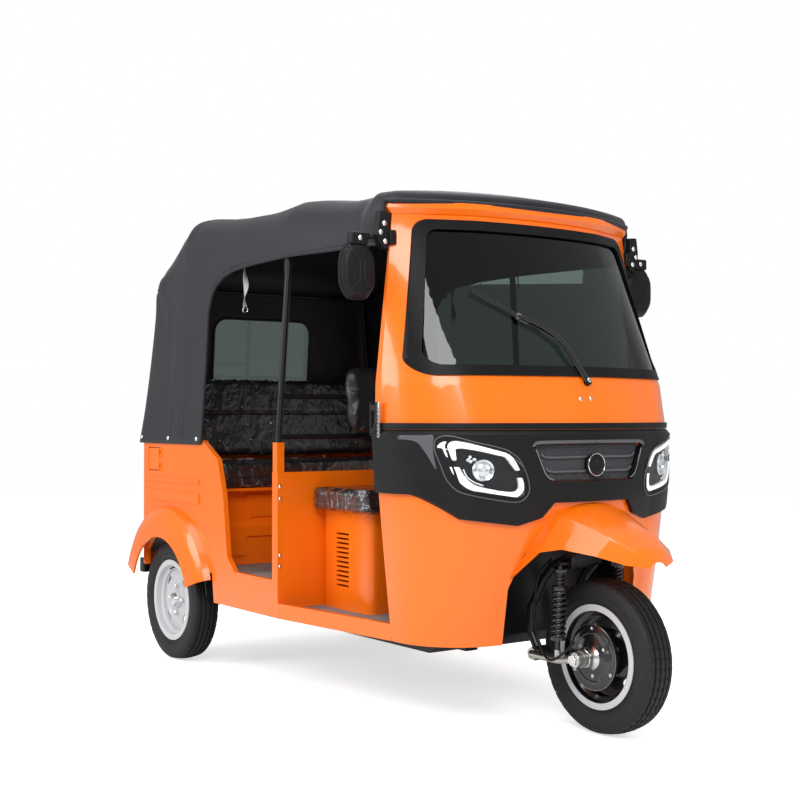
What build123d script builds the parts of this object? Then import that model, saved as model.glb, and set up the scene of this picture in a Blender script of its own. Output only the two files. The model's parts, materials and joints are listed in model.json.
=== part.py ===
"""Auto rickshaw: a three-wheeled passenger vehicle with an open-sided cab and a soft top.

Millimetres, +Z up, the vehicle faces -Y and its left side is +X.  The pieces are drawn with the
front wheel's contact point at the origin, so that a station is its distance behind the front axle,
and are moved to the middle of the vehicle's length when they are written.
"""
import os
from math import cos, radians, sin, tan

from build123d import *

# ---------------------------------------------------------------- driving dimensions
WHEELBASE = 2000.0
REAR_OVERHANG = 400.0          # rear axle to the back of the bumper
TRACK = 1090.0                 # between the middles of the rear tyres

TYRE_RADIUS = 250.0
TYRE_WIDTH = 116.0
RIM_RADIUS = 168.0             # over the rim's flange
RIM_WIDTH = 96.0
HUB_BORE = 16.0                # radius of the bore that the stub axle runs in
RUNNING_GAP = 0.5              # radial gap between an axle and its hub

BODY_HALF = 600.0              # body side at the belt
BODY_BOTTOM = 285.0
BELT_Z = 930.0                 # top of the body sides, where the hood is fastened
BODY_REAR = 2308.0
WALL = 20.0                    # whole thickness of a body wall
SHEET = 8.0                    # thickness of a single pressing

POST_REAR = 460.0              # rear edge of the front posts
PARTITION_Y = 1090.0           # front face of the partition behind the driver
PARTITION_TOP = 820.0
DRIVER_FLOOR_Z = 320.0
CABIN_FLOOR_Z = 410.0
DOOR_REAR = 1700.0             # rear edge of the passenger opening at the belt

RAKE = 25.0                    # steering axis from the vertical, degrees
NECK_Y = 130.0                 # the steering axis passes through (NECK_Y, NECK_Z)
NECK_Z = 560.0

GAP = 5.0                      # round the lid and the flap, and between moving pieces

AXLE_Z = TYRE_RADIUS
REAR_AXLE_Y = WHEELBASE
MID_LENGTH = (WHEELBASE + REAR_OVERHANG - TYRE_RADIUS) / 2
SIDES = (("left", 1), ("right", -1))

PIECES = {}


def keep(name, piece):
    """Store a finished piece under its node's name."""
    PIECES[name] = piece


# ---------------------------------------------------------------- front of the cab
# Plan outline of the nose at each height: the front arc passes the centre line at `nose` and ends
# at the shoulder, a corner arc passes the corner and ends on the cheek, and the cheek runs back to
# the front post.  Corner and cheek are given by how far they stand inside the body side.
# columns: z, nose y, shoulder x, shoulder y, corner inset, corner y, cheek inset, cheek y
NOSE_LEVELS = {
    "sill": (BODY_BOTTOM, 160.0, 300.0, 188.0, 148.0, 250.0, 70.0, 430.0),
    "arch": (560.0, 95.0, 310.0, 150.0, 125.0, 222.0, 40.0, 430.0),
    "lamp": (760.0, 62.0, 315.0, 118.0, 116.0, 205.0, 20.0, 430.0),
    "belt": (1000.0, 56.0, 321.0, 112.0, 106.0, 206.0, 4.0, 430.0),
    "scuttle": (1135.0, 98.0, 330.0, 152.0, 90.0, 246.0, 6.0, 430.0),
    "header": (1700.0, 325.0, 280.0, 352.0, 168.0, 412.0, 70.0, 456.0),
}
SHOULDER_TURN = 14.0           # direction of the shoulder's normal from straight ahead, degrees
CORNER_TURN = 45.0


def between(rows, key):
    """Row of a table at a value of its first column, between the two rows that hold it."""
    for low, high in zip(rows, rows[1:]):
        if low[0] <= key <= high[0]:
            share = (key - low[0]) / (high[0] - low[0])
            return tuple(a + share * (b - a) for a, b in zip(low, high))
    return rows[0] if key < rows[0][0] else rows[-1]


def level_at(z):
    """Nose outline at any height, with its corner and cheek measured from the centre line."""
    z, nose, shoulder_x, shoulder_y, corner_in, corner_y, cheek_in, cheek_y = between(
        sorted(NOSE_LEVELS.values()), z)
    return z, nose, shoulder_x, shoulder_y, BODY_HALF - corner_in, corner_y, BODY_HALF - cheek_in, cheek_y


def nose_outline(z, inset=0.0, rear=POST_REAR):
    """Closed plan outline of the nose at height z, moved in by inset, open end at y = rear."""
    _, nose, shoulder_x, shoulder_y, corner_x, corner_y, cheek_x, cheek_y = level_at(z)
    shoulder = (shoulder_x - inset * sin(radians(SHOULDER_TURN)),
                shoulder_y + inset * cos(radians(SHOULDER_TURN)))
    corner = (corner_x - inset * sin(radians(CORNER_TURN)),
              corner_y + inset * cos(radians(CORNER_TURN)))
    cheek = (cheek_x - inset, cheek_y)
    with BuildSketch(Plane.XY.offset(z)) as outline:
        with BuildLine():
            ThreePointArc((-shoulder[0], shoulder[1]), (0, nose + inset), shoulder)
            ThreePointArc(shoulder, corner, cheek)
            Line(cheek, (cheek[0], rear))
            Line((cheek[0], rear), (-cheek[0], rear))
            Line((-cheek[0], rear), (-cheek[0], cheek[1]))
            ThreePointArc((-cheek[0], cheek[1]), (-corner[0], corner[1]), (-shoulder[0], shoulder[1]))
        make_face()
    return outline.sketch


def nose_solid(low, high, inset=0.0, rear=POST_REAR):
    """Solid nose between two heights, with a section at every level of the table between them."""
    heights = [low] + [row[0] for row in sorted(NOSE_LEVELS.values()) if low < row[0] < high] + [high]
    with BuildPart() as solid:
        for z in heights:
            add(nose_outline(z, inset, rear))
        loft(ruled=True)
    return solid.part


def front_prism(points, radius, y_from=-100.0, y_to=POST_REAR - 30.0, mirrored=False):
    """Prism along Y whose outline (x, z) is seen from the front, with rounded corners."""
    with BuildPart() as prism:
        with BuildSketch(Plane.XZ.offset(-y_from)):
            with BuildLine():
                Polyline(*points, close=True)
            make_face()
            if radius:
                fillet(vertices(), radius)
            if mirrored:
                mirror(about=Plane.YZ)
        extrude(amount=-(y_to - y_from))
    return prism.part


def both_sides(points):
    """An outline given for the left half, closed over the centre line."""
    return list(points) + [(-x, z) for x, z in reversed(points)]


NOSE_PAST = 40.0               # how far cutting noses run past the panel they cut

BELT_GROOVE = (985.0, 1005.0)  # the black strip lies between the cowl and the scuttle
SCREEN_OPENING = [(BODY_HALF - 29.0, 1158.0), (BODY_HALF - 129.0, 1682.0)]
SCREEN_RADIUS = 55.0
SEAL_WIDTH = 34.0
ARCH_HALF = 285.0              # half width of the wheel opening in the cowl
ARCH_OUTLINE = [(ARCH_HALF, 200.0), (ARCH_HALF, 470.0), (235.0, 600.0)]

FASCIA_PROUD = 16.0
FASCIA_OUTLINE = [(BODY_HALF + 40.0, 777.0), (BODY_HALF - 40.0, 777.0), (BODY_HALF - 140.0, 700.0),
                  (285.0, 676.0), (205.0, 700.0), (165.0, 748.0)]
FASCIA_TOP = 983.0
FASCIA_BEVEL = (15.0, 3.0)     # height of the bevel along the fascia's top, and how proud it is there
LAMP_OUTLINE = [(268.0, 757.0), (268.0, 862.0), (324.0, 922.0), (BODY_HALF - 81.0, 966.0),
                (BODY_HALF - 129.0, 790.0)]
LAMP_RADIUS = 26.0
GRILLE_OUTLINE = [(184.0, 815.0), (250.0, 938.0)]
POCKET_DEPTH = 14.0            # depth of the lamp and grille pockets in the cowl's wall

# front cowl: the lower half of the nose, with the wheel opening
with BuildPart() as front_cowl:
    add(nose_solid(BODY_BOTTOM, BELT_GROOVE[0]))
    add(nose_solid(BODY_BOTTOM, BELT_GROOVE[0], WALL, POST_REAR + NOSE_PAST), mode=Mode.SUBTRACT)
    add(front_prism(both_sides(ARCH_OUTLINE), 40.0, y_to=300.0), mode=Mode.SUBTRACT)

pockets = front_prism(LAMP_OUTLINE, LAMP_RADIUS, mirrored=True)
pockets += front_prism(both_sides(GRILLE_OUTLINE), 14.0)
pockets -= nose_solid(640.0, BELT_GROOVE[0], POCKET_DEPTH)
with BuildPart() as cowl_cut:
    add(front_cowl.part)
    add(pockets, mode=Mode.SUBTRACT)
keep("front_cowl", cowl_cut.part)

# windscreen surround: scuttle, front posts and header, with the screen's opening
SURROUND_TOP = 1700.0
with BuildPart() as windscreen_surround:
    add(nose_solid(BELT_GROOVE[1], SURROUND_TOP))
    add(nose_solid(BELT_GROOVE[1], SURROUND_TOP, WALL, POST_REAR + NOSE_PAST), mode=Mode.SUBTRACT)
    add(front_prism(both_sides(SCREEN_OPENING), SCREEN_RADIUS), mode=Mode.SUBTRACT)
keep("windscreen_surround", windscreen_surround.part)

# peak: the visor over the screen, one hollow ring that stands out under the hood
PEAK_LEVELS = ((SURROUND_TOP, -4.0), (1718.0, -20.0), (1738.0, -16.0))  # z, inset
PEAK_REAR = 500.0
PEAK_INNER = 22.0
with BuildPart() as roof_peak:
    for height, inset in PEAK_LEVELS:
        with BuildSketch(Plane.XY.offset(height)):
            add(Pos(0, 0, height - SURROUND_TOP) * nose_outline(SURROUND_TOP, inset, PEAK_REAR))
    loft(ruled=True)
    with BuildSketch(Plane.XY.offset(SURROUND_TOP)):
        add(nose_outline(SURROUND_TOP, PEAK_INNER, PEAK_REAR + NOSE_PAST))
    extrude(amount=PEAK_LEVELS[-1][0] - SURROUND_TOP, mode=Mode.SUBTRACT)
keep("roof_peak", roof_peak.part)

# seal and glass of the windscreen
SEAL_PROUD = 6.0
SEAL_DEPTH = 14.0
GLASS_FACE = 4.0
GLASS_BACK = 9.0
GLASS_OUTLINE = [(SCREEN_OPENING[0][0] - SEAL_WIDTH - 4.0, SCREEN_OPENING[0][1] + SEAL_WIDTH),
                 (SCREEN_OPENING[1][0] - SEAL_WIDTH, SCREEN_OPENING[1][1] - SEAL_WIDTH)]
glass_prism = front_prism(both_sides(GLASS_OUTLINE), SCREEN_RADIUS - 12.0)
with BuildPart() as windscreen_seal:
    add(nose_solid(BELT_GROOVE[1], SURROUND_TOP, -SEAL_PROUD))
    add(nose_solid(BELT_GROOVE[1], SURROUND_TOP, SEAL_DEPTH, POST_REAR + NOSE_PAST), mode=Mode.SUBTRACT)
    add(front_prism(both_sides(SCREEN_OPENING), SCREEN_RADIUS), mode=Mode.INTERSECT)
    add(glass_prism, mode=Mode.SUBTRACT)
keep("windscreen_seal", windscreen_seal.part)

with BuildPart() as windscreen_glass:
    add(nose_solid(BELT_GROOVE[1], SURROUND_TOP, GLASS_FACE))
    add(nose_solid(BELT_GROOVE[1], SURROUND_TOP, GLASS_BACK, POST_REAR + NOSE_PAST), mode=Mode.SUBTRACT)
    add(glass_prism, mode=Mode.INTERSECT)
keep("windscreen_glass", windscreen_glass.part)

# belt trim: the strip between cowl and scuttle
TRIM_PROUD = 7.0
with BuildPart() as belt_trim:
    add(nose_solid(*BELT_GROOVE, -TRIM_PROUD))
    add(nose_solid(*BELT_GROOVE, WALL, POST_REAR + NOSE_PAST), mode=Mode.SUBTRACT)
keep("belt_trim", belt_trim.part)

# fascia: the dark band that carries the lamps and the grille
bevel_height, bevel_proud = FASCIA_BEVEL
with BuildPart() as fascia:
    add(nose_solid(640.0, FASCIA_TOP - bevel_height, -FASCIA_PROUD))
    with BuildPart():
        add(nose_outline(FASCIA_TOP - bevel_height, -FASCIA_PROUD))
        add(nose_outline(FASCIA_TOP, -bevel_proud))
        loft(ruled=True)
    add(nose_solid(640.0, FASCIA_TOP, 0.0, POST_REAR + NOSE_PAST), mode=Mode.SUBTRACT)
    fascia_edge = both_sides([(BODY_HALF + 40.0, FASCIA_TOP + 1.0)] + FASCIA_OUTLINE)
    add(front_prism(fascia_edge, 0, y_to=POST_REAR + 1.0), mode=Mode.INTERSECT)
    add(pockets, mode=Mode.SUBTRACT)
keep("fascia", fascia.part)

# grille: a back plate, three bars and a blank round badge
GRILLE_BARS = (842.0, 873.0, 904.0)
GRILLE_BAR_HEIGHT = 12.0
BADGE_Z = 868.0
BADGE_RADIUS = 36.0
grille_prism = front_prism(both_sides(GRILLE_OUTLINE), 14.0)
with BuildPart() as grille:
    add(nose_solid(800.0, 950.0, POCKET_DEPTH - 6.0))
    for bar_z in GRILLE_BARS:
        add(nose_solid(bar_z - GRILLE_BAR_HEIGHT / 2, bar_z + GRILLE_BAR_HEIGHT / 2, -1.0))
    add(nose_solid(800.0, 950.0, POCKET_DEPTH, POST_REAR + NOSE_PAST), mode=Mode.SUBTRACT)
    add(grille_prism, mode=Mode.INTERSECT)
    with BuildSketch(Plane.XZ.offset(-level_at(BADGE_Z)[1] + FASCIA_PROUD + 3.0)):
        with Locations((0, BADGE_Z)):
            Circle(BADGE_RADIUS)
    extrude(amount=-(FASCIA_PROUD + POCKET_DEPTH))
keep("grille", grille.part)

# headlamps: a bowl with its rim, a projector, a daylight strip round it and a clear lens over all
LAMP_RIM = 6.0
LENS_THICKNESS = 3.0
STRIP_WIDTH = 16.0
STRIP_BREAK = [(250.0, 828.0), (250.0, 852.0), (540.0, 882.0), (540.0, 858.0)]    # parts the strip in two
PROJECTOR = (397.0, 856.0)     # x and z of the projector's middle
PROJECTOR_Y = 141.5            # the cowl's outer face there
PROJECTOR_TURN = 25.4          # the projector faces this far outwards, degrees
# outline of the projector about its axis: (radius, distance in front of the cowl)
PROJECTOR_PROFILE = [(0.0, -30.0), (37.0, -30.0), (37.0, 2.0), (33.0, 7.0), (27.0, 4.0), (27.0, -4.0),
                     (17.0, 3.0), (0.0, 6.0)]
lamp_prism = front_prism(LAMP_OUTLINE, LAMP_RADIUS, mirrored=True)


def lamp_inner(margin):
    """Lamp outline moved in by a margin, as a prism on both sides."""
    with BuildPart() as prism:
        with BuildSketch(Plane.XZ.offset(100.0)):
            with BuildLine():
                Polyline(*LAMP_OUTLINE, close=True)
            make_face()
            fillet(vertices(), LAMP_RADIUS)
            offset(amount=-margin, mode=Mode.REPLACE)
            mirror(about=Plane.YZ)
        extrude(amount=-(100.0 + POST_REAR))
    return prism.part


def lamp_layer(face, back, outline):
    """Slab of the nose between two insets, seen within an outline."""
    with BuildPart() as layer:
        add(nose_solid(740.0, 975.0, face))
        add(nose_solid(740.0, 975.0, back, POST_REAR + NOSE_PAST), mode=Mode.SUBTRACT)
        add(outline, mode=Mode.INTERSECT)
    return layer.part


with BuildPart() as headlamp_housings:
    add(lamp_layer(-FASCIA_PROUD - 2.0, POCKET_DEPTH, lamp_prism))
    add(lamp_layer(-FASCIA_PROUD - 3.0, POCKET_DEPTH - 3.0, lamp_inner(LAMP_RIM)), mode=Mode.SUBTRACT)
keep("headlamp_housings", headlamp_housings.part)

STRIP_FACE = -FASCIA_PROUD + LENS_THICKNESS + 2.0
with BuildPart() as daylight_strips:
    add(lamp_layer(STRIP_FACE, POCKET_DEPTH - 3.0, lamp_inner(LAMP_RIM + 1.5)))
    add(lamp_layer(STRIP_FACE - 1.0, POCKET_DEPTH, lamp_inner(LAMP_RIM + 1.5 + STRIP_WIDTH)),
        mode=Mode.SUBTRACT)
    add(front_prism(STRIP_BREAK, 0, mirrored=True), mode=Mode.SUBTRACT)
keep("daylight_strips", daylight_strips.part)

with BuildPart() as projector:
    with BuildSketch():
        with BuildLine():
            Polyline(*[(radius, -proud) for radius, proud in PROJECTOR_PROFILE], close=True)
        make_face()
    revolve(axis=Axis.Y)
with BuildPart() as projectors:
    for side in (-1, 1):
        middle = Pos(side * PROJECTOR[0], PROJECTOR_Y, PROJECTOR[1])
        add(middle * Rot(0, 0, side * PROJECTOR_TURN) * projector.part)
    add(nose_solid(740.0, 975.0, POCKET_DEPTH - 3.0, POST_REAR + NOSE_PAST), mode=Mode.SUBTRACT)
keep("lamp_projectors", projectors.part)

keep("headlamp_lenses", lamp_layer(-FASCIA_PROUD, -FASCIA_PROUD + LENS_THICKNESS, lamp_inner(LAMP_RIM)))

# ---------------------------------------------------------------- mudguard over the front wheel
# Each section has a flank up to a crease on both sides and an arc over the crown between them.
# columns: y, half width, edge z, crown z
GUARD_SECTIONS = ((150.0, 285.0, 500.0, 760.0), (62.0, 236.0, 592.0, 742.0),
                  (-10.0, 205.0, 606.0, 706.0), (-120.0, 168.0, 592.0, 656.0),
                  (-195.0, 105.0, 566.0, 612.0), (-228.0, 40.0, 556.0, 578.0))
GUARD_SHEET = 6.0
CREASE = (0.62, 0.78)          # share of the half width and of the height where the crease runs
with BuildPart() as mudguard:
    for inset, mode in ((0.0, Mode.ADD), (GUARD_SHEET, Mode.SUBTRACT)):
        with BuildPart(mode=mode):
            for y, half, edge, crown in GUARD_SECTIONS:
                crease_x = half * CREASE[0] - inset / 2
                crease_z = edge + (crown - edge) * CREASE[1] - inset
                with BuildSketch(Plane.XZ.offset(-y)):
                    with BuildLine():
                        ThreePointArc((-crease_x, crease_z), (0, crown - inset), (crease_x, crease_z))
                        Polyline((crease_x, crease_z), (half - inset, edge), (-half + inset, edge),
                                 (-crease_x, crease_z))
                    make_face()
            loft(ruled=True)
    add(nose_solid(460.0, 800.0), mode=Mode.SUBTRACT)
keep("mudguard", mudguard.part)

# ---------------------------------------------------------------- shared shapes
def block(x, y, z, radius=0.0):
    """Box given by its (low, high) pairs, with upright edges rounded."""
    with BuildPart() as box:
        with BuildSketch(Plane.XY.offset(z[0])):
            with Locations(((x[0] + x[1]) / 2, (y[0] + y[1]) / 2)):
                Rectangle(x[1] - x[0], y[1] - y[0])
            if radius:
                fillet(vertices(), radius)
        extrude(amount=z[1] - z[0])
    return box.part


def tube_run(points, radius, bend=30.0):
    """Round bar along straight runs joined by bends."""
    with BuildPart() as tube:
        with BuildLine() as route:
            if len(points) > 2:
                FilletPolyline(*points, radius=bend)
            else:
                Line(*points)
        with BuildSketch(Plane(origin=route.line @ 0, z_dir=route.line % 0)):
            Circle(radius)
        sweep(path=route.line)
    return tube.part


def side_prism(points, x_from, x_to):
    """Prism along X whose outline (y, z) is seen from the side."""
    with BuildPart() as prism:
        with BuildSketch(Plane.YZ.offset(x_from)):
            with BuildLine():
                Polyline(*points, close=True)
            make_face()
        extrude(amount=x_to - x_from)
    return prism.part


def with_mirror(piece):
    """A piece and its mirror image on the other side of the vehicle."""
    return Compound(children=list(piece.solids()) + list(piece.mirror(Plane.YZ).solids()))


def disc_x(x_from, x_to, y, z, radius, bore=0.0):
    """Disc or ring about an axis along X."""
    with BuildPart() as disc:
        with BuildSketch(Plane.YZ.offset(x_from)):
            with Locations((y, z)):
                Circle(radius)
                if bore:
                    Circle(bore, mode=Mode.SUBTRACT)
        extrude(amount=x_to - x_from)
    return disc.part


# ---------------------------------------------------------------- chassis and floors
RAIL_HALF = 240.0              # middle of each chassis rail
RAIL_SIZE = 50.0
RAIL_BOTTOM = 232.0
CHASSIS_FRONT = 400.0
CHASSIS_REAR = 2260.0
CROSS_STATIONS = (430.0, 1110.0, 1560.0, 1850.0, 2240.0)
CROSS_HALF = 20.0
KICK_HALF = 140.0              # the rails rise over the drive shafts, this far either side of the axle
KICK_RISE = 58.0
KICK_RUN = 40.0
WELL_REAR = 335.0              # back of the front wheel's well
WELL_TOP = 705.0
STEM_RADIUS = 19.0
NECK_WALL = 9.0
NECK_LENGTH = 110.0
STEER_AXIS = Vector(0, sin(radians(RAKE)), cos(radians(RAKE)))


def on_steer_axis(z):
    """Point of the steering axis at a height."""
    return Vector(0, NECK_Y + (z - NECK_Z) * tan(radians(RAKE)), z)


NECK_BASE = on_steer_axis(WELL_TOP + 14.0)
NECK_RADIUS = STEM_RADIUS + RUNNING_GAP + NECK_WALL
neck_plane = Plane(origin=NECK_BASE, x_dir=(1, 0, 0), z_dir=STEER_AXIS)

rail_lower = [(CHASSIS_FRONT, RAIL_BOTTOM), (REAR_AXLE_Y - KICK_HALF, RAIL_BOTTOM),
              (REAR_AXLE_Y - KICK_HALF + KICK_RUN, RAIL_BOTTOM + KICK_RISE),
              (REAR_AXLE_Y + KICK_HALF - KICK_RUN, RAIL_BOTTOM + KICK_RISE),
              (REAR_AXLE_Y + KICK_HALF, RAIL_BOTTOM), (CHASSIS_REAR, RAIL_BOTTOM)]
rail_outline = rail_lower + [(y, z + RAIL_SIZE) for y, z in reversed(rail_lower)]
with BuildPart() as chassis_frame:
    for side in (-1, 1):
        middle = side * RAIL_HALF
        add(side_prism(rail_outline, middle - RAIL_SIZE / 2, middle + RAIL_SIZE / 2))
    for station in CROSS_STATIONS:
        add(block((-RAIL_HALF, RAIL_HALF), (station - CROSS_HALF, station + CROSS_HALF),
                  (RAIL_BOTTOM + 5.0, RAIL_BOTTOM + RAIL_SIZE - 5.0)))
    with BuildSketch(neck_plane):
        Circle(NECK_RADIUS)
    extrude(amount=NECK_LENGTH)
    for side in (-1, 1):
        add(tube_run([(side * 20.0, NECK_BASE.Y + 50.0, NECK_BASE.Z + 40.0),
                      (side * 150.0, WELL_REAR + 40.0, 600.0),
                      (side * RAIL_HALF, CHASSIS_FRONT + 12.0, RAIL_BOTTOM + RAIL_SIZE / 2)], 16.0))
    with BuildSketch(neck_plane.offset(-1.0)):
        Circle(STEM_RADIUS + RUNNING_GAP)
    extrude(amount=NECK_LENGTH + 2.0, mode=Mode.SUBTRACT)
keep("chassis_frame", chassis_frame.part)

UNDERPAN_BOTTOM = 206.0
with BuildPart() as underpan:
    add(side_prism([(455.0, BODY_BOTTOM - 4.0), (560.0, UNDERPAN_BOTTOM), (1180.0, UNDERPAN_BOTTOM),
                    (1260.0, RAIL_BOTTOM - 2.0), (1260.0, RAIL_BOTTOM), (560.0, RAIL_BOTTOM),
                    (480.0, BODY_BOTTOM - 4.0)], -300.0, 300.0))
    add(chassis_frame.part, mode=Mode.SUBTRACT)
keep("underpan", underpan.part)

FLOOR_SHEET = 12.0
with BuildPart() as driver_floor:
    with BuildSketch(Plane.XY.offset(BODY_BOTTOM - 2.0)):
        with BuildLine():
            Polyline(*both_sides([(BODY_HALF - 95.0, 470.0), (BODY_HALF - 25.0, PARTITION_Y - 1.0)]),
                     close=True)
        make_face()
        with Locations((0, 415.0)):
            Rectangle(2 * (BODY_HALF - 130.0), 110.0)
    extrude(amount=DRIVER_FLOOR_Z - BODY_BOTTOM + 2.0)
    add(chassis_frame.part, mode=Mode.SUBTRACT)
keep("driver_floor", driver_floor.part)

SILL_TOP = 340.0
with BuildPart() as door_sill:
    with BuildSketch(Plane.XY.offset(BODY_BOTTOM)):
        with BuildLine():
            Polyline((BODY_HALF - 68.0 - WALL, POST_REAR + 1.0), (BODY_HALF - 68.0, POST_REAR + 1.0),
                     (BODY_HALF, PARTITION_Y - 1.0), (BODY_HALF - WALL, PARTITION_Y - 1.0), close=True)
        make_face()
    extrude(amount=SILL_TOP - BODY_BOTTOM)
keep("door_sills", with_mirror(door_sill.part))

PARTITION_THICK = 40.0
CABIN_START = PARTITION_Y + PARTITION_THICK
POST_WIDTH = 42.0
STUB_HALF = 15.0               # half width of the stubs that carry the hood's poles
with BuildPart() as partition:
    add(block((-BODY_HALF, BODY_HALF), (PARTITION_Y, CABIN_START), (BODY_BOTTOM, PARTITION_TOP)))
    add(block((-BODY_HALF + POST_WIDTH, BODY_HALF - POST_WIDTH), (PARTITION_Y + 16.0, CABIN_START + 1.0),
              (CABIN_FLOOR_Z, PARTITION_TOP - 40.0)), mode=Mode.SUBTRACT)
    for side in (-1, 1):
        middle = side * (BODY_HALF - STUB_HALF)
        add(block((middle - STUB_HALF, middle + STUB_HALF), (PARTITION_Y + 4.0, CABIN_START - 4.0),
                  (PARTITION_TOP, BELT_Z)))
keep("partition", partition.part)

SEAT_PANEL_Y = 1750.0
ARCH_RADIUS = 305.0            # wheel opening in the body side
HOUSE_INNER = TRACK / 2 - 115.0    # inner wall of each wheel house
WIDE = BODY_HALF - WALL - 1.0  # half width of what lies between the body sides
with BuildPart() as house_room:
    for side in (-1, 1):
        walls = sorted((side * (HOUSE_INNER - 1.0), side * BODY_HALF))
        add(disc_x(*walls, REAR_AXLE_Y, AXLE_Z, ARCH_RADIUS + 0.5))
with BuildPart() as passenger_floor:
    add(block((-WIDE, WIDE), (CABIN_START + 1.0, SEAT_PANEL_Y - 1.0),
              (CABIN_FLOOR_Z - FLOOR_SHEET, CABIN_FLOOR_Z)))
    add(house_room.part, mode=Mode.SUBTRACT)
keep("passenger_floor", passenger_floor.part)

# ---------------------------------------------------------------- rear body
SIDE_END = 2236.0              # where the body sides meet the rear panel
SIDE_BOTTOM_END = 1596.0       # the body side's lower edge ends here, ahead of the rear wheel
SIDE_ARCH_BOTTOM = 400.0
DOOR_SILL_Z = 423.0
BODY_SIDE = [(CABIN_START + 1.0, BODY_BOTTOM), (SIDE_BOTTOM_END, BODY_BOTTOM),
             (SIDE_BOTTOM_END + 16.0, SIDE_ARCH_BOTTOM), (SIDE_END - 1.0, SIDE_ARCH_BOTTOM),
             (SIDE_END - 1.0, BELT_Z),
             (DOOR_REAR, BELT_Z), (1568.0, 857.0), (1521.0, 725.0), (1483.0, 475.0),
             (1424.0, DOOR_SILL_Z), (CABIN_START + 1.0, DOOR_SILL_Z)]
FLAP = ((2098.0, 2216.0), (792.0, 894.0))      # y and z of the filler opening
FLAP_THICK = 8.0
FLAP_PIN = 2.0
FLAP_KNUCKLE = 5.0
FLAP_AXIS = (-BODY_HALF - FLAP_KNUCKLE, 2100.0)    # x and y of the flap's hinge pin
FLAP_HINGES = (806.0, 866.0)   # lower end of each hinge's middle knuckle
KNUCKLE_LENGTH = 12.0
KNUCKLE_PLAY = 0.4
HINGE_LEAF = 3.0               # thickness of a hinge leaf
RIBS = ((748.0, 766.0), (668.0, 712.0))        # z of the two pressed ribs along the body side
RIB_START = 1725.0
RIB_PROUD = 5.0


def upright_knuckle(z_from, z_to, way, bore=0.0):
    """Knuckle of a flap hinge with its leaf, which runs forwards (way -1) or backwards (way 1)."""
    x, y = FLAP_AXIS
    reach = (y + way * (FLAP_KNUCKLE + 2.0), y + way * 26.0)
    with BuildPart() as knuckle:
        add(block((-BODY_HALF - HINGE_LEAF, -BODY_HALF + 0.5), sorted(reach), (z_from, z_to)))
        add(block((-BODY_HALF - HINGE_LEAF, -BODY_HALF - 0.5), sorted((y, reach[0])), (z_from, z_to)))
        with BuildSketch(Plane.XY.offset(z_from)):
            with Locations(FLAP_AXIS):
                Circle(FLAP_KNUCKLE - 0.5)
        extrude(amount=z_to - z_from)
        if bore:
            with BuildSketch(Plane.XY.offset(z_from - 1.0)):
                with Locations(FLAP_AXIS):
                    Circle(bore)
            extrude(amount=z_to - z_from + 2.0, mode=Mode.SUBTRACT)
    return knuckle.part


def side_panel(side):
    """Body side from the partition to the rear corner."""
    with BuildPart() as panel:
        add(side_prism(BODY_SIDE, side * (BODY_HALF - WALL), side * BODY_HALF))
        for low, high in RIBS:
            rib = [(RIB_START, low), (SIDE_END - 1.0, low), (SIDE_END - 1.0, high), (RIB_START, high)]
            add(side_prism(rib, side * (BODY_HALF - 1.0), side * (BODY_HALF + RIB_PROUD)))
        add(disc_x(-BODY_HALF - 10.0, BODY_HALF + 10.0, REAR_AXLE_Y, AXLE_Z, ARCH_RADIUS),
            mode=Mode.SUBTRACT)
        if side < 0:
            (front, back), (low, high) = FLAP
            add(block((-BODY_HALF - 1.0, -BODY_HALF + FLAP_THICK + GAP), (front, back), (low, high)),
                mode=Mode.SUBTRACT)
            for z in FLAP_HINGES:
                add(upright_knuckle(z - KNUCKLE_LENGTH, z - KNUCKLE_PLAY, -1))
                add(upright_knuckle(z + KNUCKLE_LENGTH + KNUCKLE_PLAY, z + 2 * KNUCKLE_LENGTH, -1))
                with Locations((*FLAP_AXIS, z + KNUCKLE_LENGTH / 2)):
                    Cylinder(FLAP_PIN, 3 * KNUCKLE_LENGTH)
    return panel.part


for side_name, side in SIDES:
    keep(f"side_panel_{side_name}", side_panel(side))

CORNER_RADIUS = 55.0
LID_HALF = 360.0
LID_Z = (470.0, 850.0)
PANEL_BOTTOM = 380.0
# the engine lid hangs from two hinges along its upper edge
LID_PIN = 3.5
LID_KNUCKLE_RADIUS = 7.5
LID_KNUCKLE = 24.0             # length of each knuckle
LID_AXIS = (BODY_REAR + LID_KNUCKLE_RADIUS, LID_Z[1] + 3.0)    # y and z of the lid's hinge pins
LID_HINGES = (-240.0, 240.0)
LID_LEAF = 34.0                # reach of each leaf from the axis


def level_knuckle(x_from, x_to, way, bore=0.0):
    """Knuckle of a lid hinge with its leaf, which runs up (way 1) or down (way -1)."""
    y, z = LID_AXIS
    with BuildPart() as knuckle:
        add(block((x_from, x_to), (BODY_REAR - 0.5, BODY_REAR + HINGE_LEAF),
                  (min(z + way * 9.0, z + way * LID_LEAF), max(z + way * 9.0, z + way * LID_LEAF))))
        add(block((x_from, x_to), (BODY_REAR + 0.5, BODY_REAR + HINGE_LEAF),
                  (min(z, z + way * 9.0), max(z, z + way * 9.0))))
        add(disc_x(x_from, x_to, y, z, LID_KNUCKLE_RADIUS - 0.5))
        if bore:
            add(disc_x(x_from - 1.0, x_to + 1.0, y, z, bore), mode=Mode.SUBTRACT)
    return knuckle.part


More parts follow.
